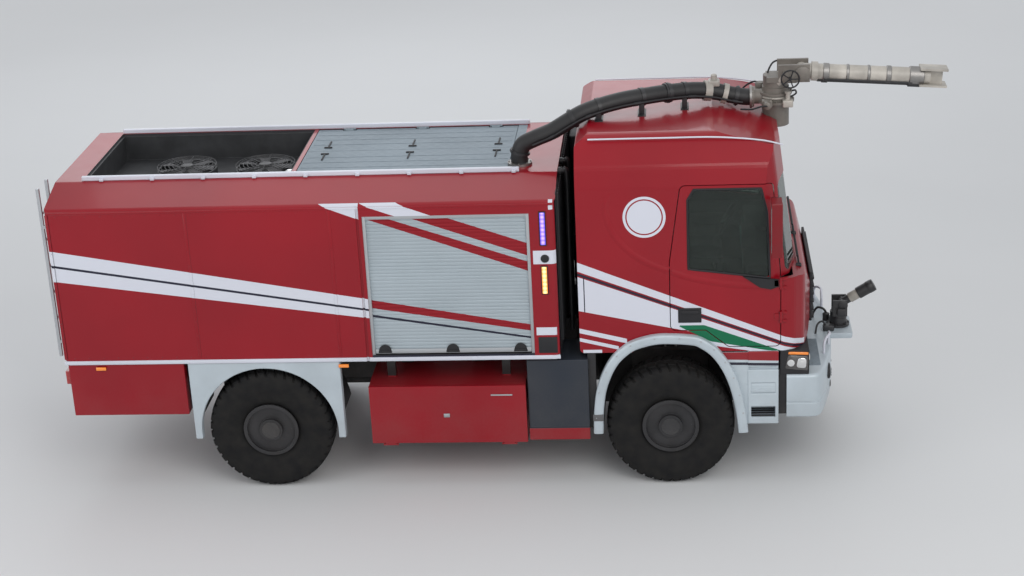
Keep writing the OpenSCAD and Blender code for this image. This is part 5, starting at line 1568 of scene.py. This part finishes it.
class ArchesOperator(bpy.types.Operator):
    """Make the front arch flares with their screws and bands, and the linings of all the arches"""

    bl_idname = "firetruck.arches"
    bl_label = "Front arches"

    def execute(self, context):
        line = smooth_path(FLARE_LINE, 137) + (AXLE_X, AXLE_Z)
        section = (
            (0, -1.207), (0, -1.258), (0.003, -1.267), (0.012, -1.274), (0.03, -1.275), (0.07, -1.272), (
                0.086, -1.267
            ),
            (0.093, -1.258), (FLARE_WIDTH, -1.244), (FLARE_WIDTH, -1.207),
        )
        flare = sweep(line, section, (AXLE_X, AXLE_Z))
        legs = [line[:46], line[96:]]
        lining = ((0.03, -0.52), (0.03, -1.208), (FLARE_WIDTH - 0.001, -1.208), (FLARE_WIDTH - 0.001, -0.52))
        linings = [sweep(leg[leg[:, 1] < 1.39], lining, (AXLE_X, AXLE_Z)) for leg in legs]
        walls = [
            block((2.02, -0.52, 0.56), (2.334, -0.505, 1.392)),
            block((0.925, -0.52, 0.56), (1.26, -0.505, 1.392)),
            block((0.855, -1.2, 0.6), (0.935, -1.185, 1.392)),
            block((2.66, -1.2, 0.73), (2.79, -1.185, 1.2)),
        ]
        splash = block((2.318, -1.195, 0.86), (2.334, 1.195, 1.392))
        black = together(both(together(*linings, *walls)), splash)
        piece("arch_linings", black, "black", smooth=45)
        angle = np.linspace(math.radians(8), math.radians(172), 49)
        well = np.stack([REAR_X + 0.718 * np.cos(angle), AXLE_Z + 0.718 * np.sin(angle)], -1)
        shell = sweep(well, ((0, -0.6), (0, -1.2), (0.008, -1.2), (0.008, -0.6)), (REAR_X, AXLE_Z))
        piece("rear_linings", both(shell), "black", smooth=45)
        piece("arch_flares", both(flare), "panel", smooth=45, instead_of=["front_arches"])
        at = np.arange(6, 134, 10)
        inward = np.array((AXLE_X, AXLE_Z)) - line[at]
        spots = line[at] + 0.026 * inward / np.linalg.norm(inward, axis=1)[:, None]
        places = np.stack([spots[:, 0], np.full(len(at), -1.2742), spots[:, 1]], -1)
        screw = lathe([(0.009, 0), (0.008, -0.0025), (0.004, -0.0035)], (0, 0, 0), "Y", 12)
        bands = block((0.894, -1.2775, 0.705), (0.995, -1.262, 0.775))
        piece("arch_screws", both(at_places(screw, places)), "bare", smooth=35)
        piece("arch_bands", both(bands), "grey")
        return {"FINISHED"}


# Front edge of the bumper in X and Y, from its right end to the middle
BUMPER_LINE = (
    (2.752, -1.228), (2.88, -1.2295), (3.0, -1.227), (3.062, -1.2), (3.103, -1.115), (3.148, -0.945), (
        3.193, -0.72
    ),
    (3.224, -0.52), (3.237, -0.28), (3.24, 0.0),
)


class BumperOperator(bpy.types.Operator):
    """Make the front bumper with its platform, treads, fog lamps, slots, hoops, covers and blank plate"""

    bl_idname = "firetruck.bumper"
    bl_label = "Front bumper"

    def execute(self, context):
        right = smooth_path(BUMPER_LINE, 81)
        line = np.concatenate([right, right[-2::-1] * (1, -1)])
        section = (
            (0.05, 0.702), (0.016, 0.704), (0.004, 0.712), (0, 0.728), (0, 0.846), (0.007, 0.852), (0.007, 0.868), (
                0, 0.874
            ),
            (0, 1.112), (0.004, 1.13), (0.014, 1.143), (0.032, 1.1485), (0.055, 1.1485), (0.055, 0.74),
        )
        skin = sweep(line, section, (0.0, 0.0), "Z")
        ahead = line[line[:, 0] > 2.93]
        middle = np.array((2.9, 0.0))
        top = middle + (ahead - middle) * (1 - 0.045 / np.linalg.norm(ahead - middle, axis=1))[:, None]
        deck = plate([(2.893, -1.165), *top, (2.893, 1.165)], 1.122, 1.147, "Z", 0.002)
        platform = block((3.17, -0.23, 1.09), (3.46, 0.23, 1.1495), 0.008, 0.03)
        piece("bumper_skin", together(skin, deck, platform), "panel", smooth=40, instead_of=["front_bumper"])
        tread = [
            block((2.96, -1.0, 1.146), (3.09, -0.36, 1.1512), 0.002, 0.01),
            block((2.96, 0.36, 1.146), (3.09, 1.0, 1.1512), 0.002, 0.01),
        ]
        piece("bumper_treads", tread, "deck")
        rims, lamps = [], []
        rim = [(0.078, -0.03), (0.078, 0.018), (0.066, 0.024), (0.06, 0.012), (0.058, -0.03)]
        for y in (-0.8, 0.8):
            rims += [lathe(rim, (3.17, y, 1.0), "X", 36)]
            lamps += [
                lathe([(0.058, 0.002), (0.05, 0.01), (0.025, 0.016), (0.004, 0.0175)], (3.17, y, 1.0), "X", 36)
            ]
        slots = [block((3.225, -0.4, z), (3.2412, 0.4, z + 0.014), 0.002) for z in (0.76, 0.79, 0.82)]
        slots += [block((3.222, -0.36, 0.9), (3.2425, 0.36, 0.905), 0.001)]
        piece("fog_lamp_rims", rims, "black", smooth=35)
        piece("fog_lamps", lamps, "bright", smooth=50)
        piece("bumper_slots", slots, "black")
        hoop = [
            (3.14, -0.72, 1.14), (3.14, -0.72, 1.24), (3.16, -0.68, 1.29), (3.2, -0.6, 1.3),
            (3.2, -0.52, 1.29), (3.2, -0.48, 1.24), (3.2, -0.48, 1.14),
        ]
        piece("bumper_hoops", both(bent_tube(hoop, 40, 0.013, 12, (1, 0, 0))), "white", smooth=60)
        piece("front_plate", block((3.236, -0.26, 0.925), (3.2455, 0.26, 1.04), 0.003, 0.01), "white")
        covers = [
            lathe([(0.036, -0.02), (0.036, 0.001), (0.03, 0.005), (0.006, 0.006)], (3.2105, y, 0.785), "X", 28)
            for y in (-0.62, 0.62)
        ]
        piece("towing_eye_covers", covers, "black", smooth=40)
        return {"FINISHED"}


class InteriorOperator(bpy.types.Operator):
    """Make the cab's instruments, console, pedals, mats, roof lining, belts and rear wall lining"""

    bl_idname = "firetruck.interior"
    bl_label = "Cab interior"

    def execute(self, context):
        hard = [
            block((2.36, -0.86, 2.065), (2.62, -0.38, 2.14), 0.02, 0.05),
            block((2.4, 0.28, 2.065), (2.68, 0.95, 2.12), 0.02, 0.05),
            block((2.36, -0.2, 2.06), (2.5, 0.16, 2.2), 0.02),
            block((1.95, -0.19, 1.452), (2.42, 0.14, 1.72), 0.03),
            block((1.3, -1.1, 1.452), (2.38, 1.1, 1.462), 0.003),
            block((0.845, -1.08, 1.5), (0.862, 1.08, 3.2), 0.006, 0.05),
            block((1.0, -0.85, 3.395), (1.95, 0.85, 3.412), 0.006, 0.1),
            block((1.45, -0.28, 3.38), (1.95, 0.28, 3.42), 0.02),
        ]
        piece("cab_trims", hard, "grey")
        panes = [
            block((2.352, -0.76, 2.075), (2.364, -0.48, 2.13), 0.003),
            block((2.352, -0.15, 2.08), (2.364, 0.11, 2.185), 0.003),
            block((2.392, 0.36, 2.072), (2.404, 0.6, 2.112), 0.003),
        ]
        piece("dash_screens", panes, "screen")
        small = [
            lathe(
                [(0.012, 0), (0.011, 0.12), (0.026, 0.14), (0.026, 0.16), (0.012, 0.175)], (2.1, -0.1, 1.71), "Z",
                18,
            ),
            lathe([(0.01, 0), (0.01, 0.08), (0.02, 0.09), (0.02, 0.11), (0.01, 0.115)], (2.2, 0.02, 1.71), "Z", 18),
            block((2.33, -0.72, 1.5), (2.36, -0.62, 1.6), 0.008),
            block((2.33, -0.55, 1.5), (2.36, -0.45, 1.64), 0.008),
        ]
        small += [lathe([(0.009, 0), (0.008, -0.008)], (2.352, 0.68 + 0.05 * i, 2.09), "X", 14) for i in range(5)]
        piece("cab_controls", small, "black", smooth=40)
        belt = ((-0.3, 0.24, 2.75), (-0.28, 0.25, 2.3), (-0.2, 0.26, 1.75), (-0.18, 0.26, 1.47))
        belts = [
            bent_tube([(AXLE_X + dx + back, y + across, z) for back, across, z in belt], 24, 0.012, 8)
            for dx, y in SEAT_PLACES
            if y
        ]
        piece("seat_belt_reels", belts, "black", smooth=60)
        return {"FINISHED"}


class ChassisOperator(bpy.types.Operator):
    """Make the air tanks, brake chambers, spring clips, shock absorbers and hoses under the truck"""

    bl_idname = "firetruck.chassis"
    bl_label = "Chassis fittings"

    def execute(self, context):
        can = [
            (0.05, -0.09), (0.083, -0.08), (0.088, -0.01), (0.094, 0), (0.088, 0.01), (0.083, 0.07), (0.05, 0.085)
        ]
        air = [
            (0.03, -0.36), (0.09, -0.345), (0.125, -0.31), (0.13, -0.28), (0.13, 0.28), (0.125, 0.31),
            (0.09, 0.345), (0.03, 0.36),
        ]
        parts, clips = [], []
        for x, reach, scale in BRAKES:
            for y in (-reach, reach):
                parts += [
                    lathe(np.array(can) * scale, (x - 0.2, y, 0.78), "X", 28),
                    tube([(x - 0.13, y, 0.78), (x - 0.04, y, 0.74)], 0.02, 12),
                    tube([(x + 0.16, y * 0.94, 0.55), (x + 0.2, y * 0.94, 0.95)], 0.034, 18),
                    tube([(x + 0.15, y * 0.94, 0.46), (x + 0.165, y * 0.94, 0.6)], 0.022, 14),
                ]
                spring = 0.425 * np.sign(y)
                for dx in (-0.055, 0.055):
                    for across in (spring - 0.06, spring + 0.06):
                        clips += [tube([(x + dx, across, 0.5), (x + dx, across, 0.86)], 0.011, 10)]
                clips += [block((x - 0.085, spring - 0.075, 0.49), (x + 0.085, spring + 0.075, 0.51), 0.005)]
        for x, y in ((-0.9, 0.62), (-0.9, -0.62), (-0.1, 0.62)):
            parts += [lathe(air, (x, y, 0.92), "X", 32)]
            clips += [ring(0.133, 0.006, (x + dx, y, 0.92), "X", 32, 6) for dx in (-0.2, 0.2)]
            clips += [block((x - 0.22, y - np.sign(y) * 0.24, 0.98), (x + 0.22, y - np.sign(y) * 0.12, 1.0), 0.004)]
        duct = [(0.9, 0.52, 1.1), (0.7, 0.55, 1.0), (0.3, 0.55, 0.8), (0.0, 0.5, 0.72), (-0.4, 0.49, 0.7)]
        parts += [bent_tube(duct, 40, 0.045, 18)]
        piece("chassis_units", parts, "frame", smooth=45)
        piece("chassis_clips", clips, "steel", smooth=45, slot="frame_paint")
        # Each point of a hose: its place along from the axle, its share of the way out, and its height
        hose = ((-0.28, 1, 0.8), (-0.36, 0.95, 0.86), (-0.4, 0.8, 0.95), (-0.5, 0.72, 1.0))
        hoses = [
            bent_tube([(x + dx, y * share, z) for dx, share, z in hose], 24, 0.009, 10)
            for x, reach, scale in BRAKES
            for y in (-reach, reach)
        ]
        piece("brake_hoses", hoses, "black", smooth=60)
        return {"FINISHED"}


class FittingsOperator(bpy.types.Operator):
    """Make the cab steps' treads, risers and sides, a black ribbed sheet on the body's front wall whose black is
    painted shade in the gap behind the cab, and the intake tower
    """

    bl_idname = "firetruck.fittings"
    bl_label = "Small fittings"

    def execute(self, context):
        treads = [
            block((2.405, -1.21 + 0.055 * i, 0.707), (2.655, -1.18 + 0.055 * i, 0.717), 0.002) for i in range(4)
        ]
        piece("step_treads", both(*treads), "black")
        risers = [block((2.392, -1.224, 0.963), (2.668, -1.0, 1.067), 0.006)]
        risers += [block((2.41, -1.2265, z), (2.65, -1.222, z + 0.006), 0.002) for z in (0.985, 1.01, 1.035)]
        piece("step_risers", both(*risers), "panel")
        rim = smooth_path(FLARE_LINE, 137)[90:134] + (AXLE_X - 0.03, AXLE_Z)
        rim = rim[rim[:, 1] < 1.399]
        outline = np.concatenate([rim, [(2.392, rim[-1, 1]), (2.392, rim[0, 1])]])
        sides = together(
            plate(outline, -1.2215, -1.2, "Y", 0.003),
            block((2.36, -1.224, 1.05), (2.385, -1.22, 1.055), 0.001),
        )
        piece("step_sides", both(sides), "steps")
        # Painted shade: the black ribbed sheet over the body's front wall stands in for the shade in the gap behind
        # the cab
        ribs = [
            block((0.612, y - 0.012, 1.5), (0.634, y + 0.012, 3.0), 0.006) for y in np.arange(-1.12, 1.13, 0.07)
        ]
        back = block((0.607, -1.17, 1.46), (0.617, 1.17, 3.02))
        piece("body_front_ribs", together(back, *ribs), "black")
        tower = [
            block((0.645, 0.78, 1.366), (0.77, 1.12, 2.9), 0.02, 0.03),
            block((0.638, 0.76, 2.62), (0.777, 1.14, 2.96), 0.02, 0.035),
            block((0.65, 0.3, 1.9), (0.74, 0.8, 2.06), 0.03),
        ]
        tower += [block((0.645, 1.132, z), (0.77, 1.152, z + 0.014)) for z in np.arange(2.66, 2.92, 0.035)]
        piece("intake_tower", tower, "black")
        return {"FINISHED"}


# Stage


def lamp(name, place, aim, power, size, tint=(1, 1, 1)):
    data = bpy.data.lights.new(name, "AREA")
    data.energy, data.size, data.color = power, size, tint
    obj = bpy.data.objects.new(name, data)
    bpy.context.scene.collection.objects.link(obj)
    obj.location = place
    obj.rotation_mode = "QUATERNION"
    obj.rotation_quaternion = (Vector(aim) - Vector(place)).to_track_quat("-Z", "Y")


def set_camera(scene, settings):
    """Puts the camera at the photograph's place. Its turn there is the photograph's own, swung by the shortest
    arc until it looks at the aim, so that upright and level edges lean as they do in the photograph."""
    yaw, pitch, roll = settings.yaw, settings.pitch, settings.roll
    ahead = Vector((math.sin(yaw) * math.cos(pitch), math.cos(yaw) * math.cos(pitch), -math.sin(pitch)))
    level = Vector((math.cos(yaw), -math.sin(yaw), 0))
    above = level.cross(ahead)
    right = level * math.cos(roll) + above * math.sin(roll)
    up = above * math.cos(roll) - level * math.sin(roll)
    photo = Matrix((right, up, -ahead)).transposed().to_quaternion()
    swing = ahead.rotation_difference(Vector(settings.aim) - Vector(settings.place))
    data = bpy.data.cameras.new("camera")
    data.lens, data.sensor_width, data.clip_end = settings.lens, 36.0, 500.0
    camera = bpy.data.objects.new("camera", data)
    scene.collection.objects.link(camera)
    camera.location = settings.place
    camera.rotation_mode = "QUATERNION"
    camera.rotation_quaternion = swing @ photo
    scene.camera = camera


def set_floor(scene, settings):
    """Lays the floor. Far from the truck it glows a little, so that it runs into the background."""
    ground = Finish("floor", roughness=0.85, specular_ior_level=0.15)
    cloud = ground.spread(ground.noise(0.35, 4.0), 0.2, 0.8)
    hue = tuple(settings.floor)
    ground.set("Base Color", ground.blend(cloud, scaled(hue, 0.97), hue))
    radius = ground.add("ShaderNodeVectorMath", {0: ground.place}, operation="LENGTH").outputs["Value"]
    far = ground.times(ground.spread(radius, 9.0, 40.0), 0.34)
    ground.set("Emission Color", (0.97, 0.98, 1.0))
    ground.set("Emission Strength", far)
    reach = 260.0
    corners = [[(-reach, -reach, 0), (reach, -reach, 0)], [(-reach, reach, 0), (reach, reach, 0)]]
    points, loops, _ = grid(corners, around=False)
    mesh = bpy.data.meshes.new("studio_floor")
    mesh.from_pydata(points.tolist(), [], [loops.tolist()])
    mesh.materials.append(ground.material)
    floor = bpy.data.objects.new("studio_floor", mesh)
    scene.collection.objects.link(floor)


def set_world(scene, settings):
    """Gives the world one level as light, and a brighter one where the camera, metal or glass sees it."""
    world = bpy.data.worlds.new("studio")
    world.use_nodes = True
    scene.world = world
    nodes, links = world.node_tree.nodes, world.node_tree.links
    background = nodes["Background"]
    path = nodes.new("ShaderNodeLightPath")
    seen = path.outputs["Is Camera Ray"]
    for ray in ("Is Glossy Ray", "Is Transmission Ray"):
        either = nodes.new("ShaderNodeMath")
        either.operation = "MAXIMUM"
        links.new(seen, either.inputs[0])
        links.new(path.outputs[ray], either.inputs[1])
        seen = either.outputs[0]
    level = nodes.new("ShaderNodeMapRange")
    links.new(seen, level.inputs[0])
    level.inputs[3].default_value, level.inputs[4].default_value = settings.light, settings.sky
    background.inputs["Color"].default_value = (0.95, 0.97, 1.0, 1)
    links.new(level.outputs[0], background.inputs["Strength"])


class StageOperator(bpy.types.Operator):
    """Set up the camera, the floor, the world and the lamps"""

    bl_idname = "firetruck.stage"
    bl_label = "Studio"

    def execute(self, context):
        scene, settings = context.scene, context.scene.truck_stage
        set_camera(scene, settings)
        set_floor(scene, settings)
        set_world(scene, settings)
        scene.view_settings.view_transform = "Standard"
        lamp("key", (7.0, -13.0, 11.0), (0, 0, 1.5), 1000, 10.0, (1.0, 0.98, 0.95))
        lamp("fill", (-10.0, -9.0, 7.0), (0, 0, 1.5), 380, 10.0)
        lamp("back", (-3.0, 13.0, 12.0), (0, 0, 1.5), 600, 13.0, (0.95, 0.97, 1.0))
        lamp("top", (0.0, 0.0, 15.0), (0, 0, 0), 200, 12.0)
        return {"FINISHED"}


class TruckPanel(bpy.types.Panel):
    bl_idname = "VIEW3D_PT_firetruck"
    bl_label = "Fire truck"
    bl_space_type = "VIEW_3D"
    bl_region_type = "UI"
    bl_category = "Fire truck"

    def draw(self, context):
        for group in ("truck_stage", "truck_paint", "truck_tyres", "truck_seats"):
            box = self.layout.box()
            settings = getattr(context.scene, group)
            for name in settings.__annotations__:
                box.prop(settings, name)
        for operator in OPERATORS:
            self.layout.operator(operator.bl_idname)


GROUPS = {
    "truck_stage": StageSettings,
    "truck_paint": PaintSettings,
    "truck_tyres": TyreSettings,
    "truck_seats": SeatSettings,
}
OPERATORS = (
    StageOperator,
    PaintOperator,
    WheelsOperator,
    ShuttersOperator,
    RoofOperator,
    BodyTrimOperator,
    CabTrimOperator,
    LampsOperator,
    SeatsOperator,
    FeedPipeOperator,
    MonitorsOperator,
    ArchesOperator,
    BumperOperator,
    InteriorOperator,
    ChassisOperator,
    FittingsOperator,
)


def register():
    for cls in (*GROUPS.values(), *OPERATORS, TruckPanel):
        bpy.utils.register_class(cls)
    for name, cls in GROUPS.items():
        setattr(bpy.types.Scene, name, bpy.props.PointerProperty(type=cls))


def unregister():
    for name in GROUPS:
        delattr(bpy.types.Scene, name)
    for cls in reversed((*GROUPS.values(), *OPERATORS, TruckPanel)):
        bpy.utils.unregister_class(cls)


def main():
    register()
    for operator in OPERATORS:
        group, name = operator.bl_idname.split(".")
        getattr(getattr(bpy.ops, group), name)()


if __name__ == "__main__":
    main()
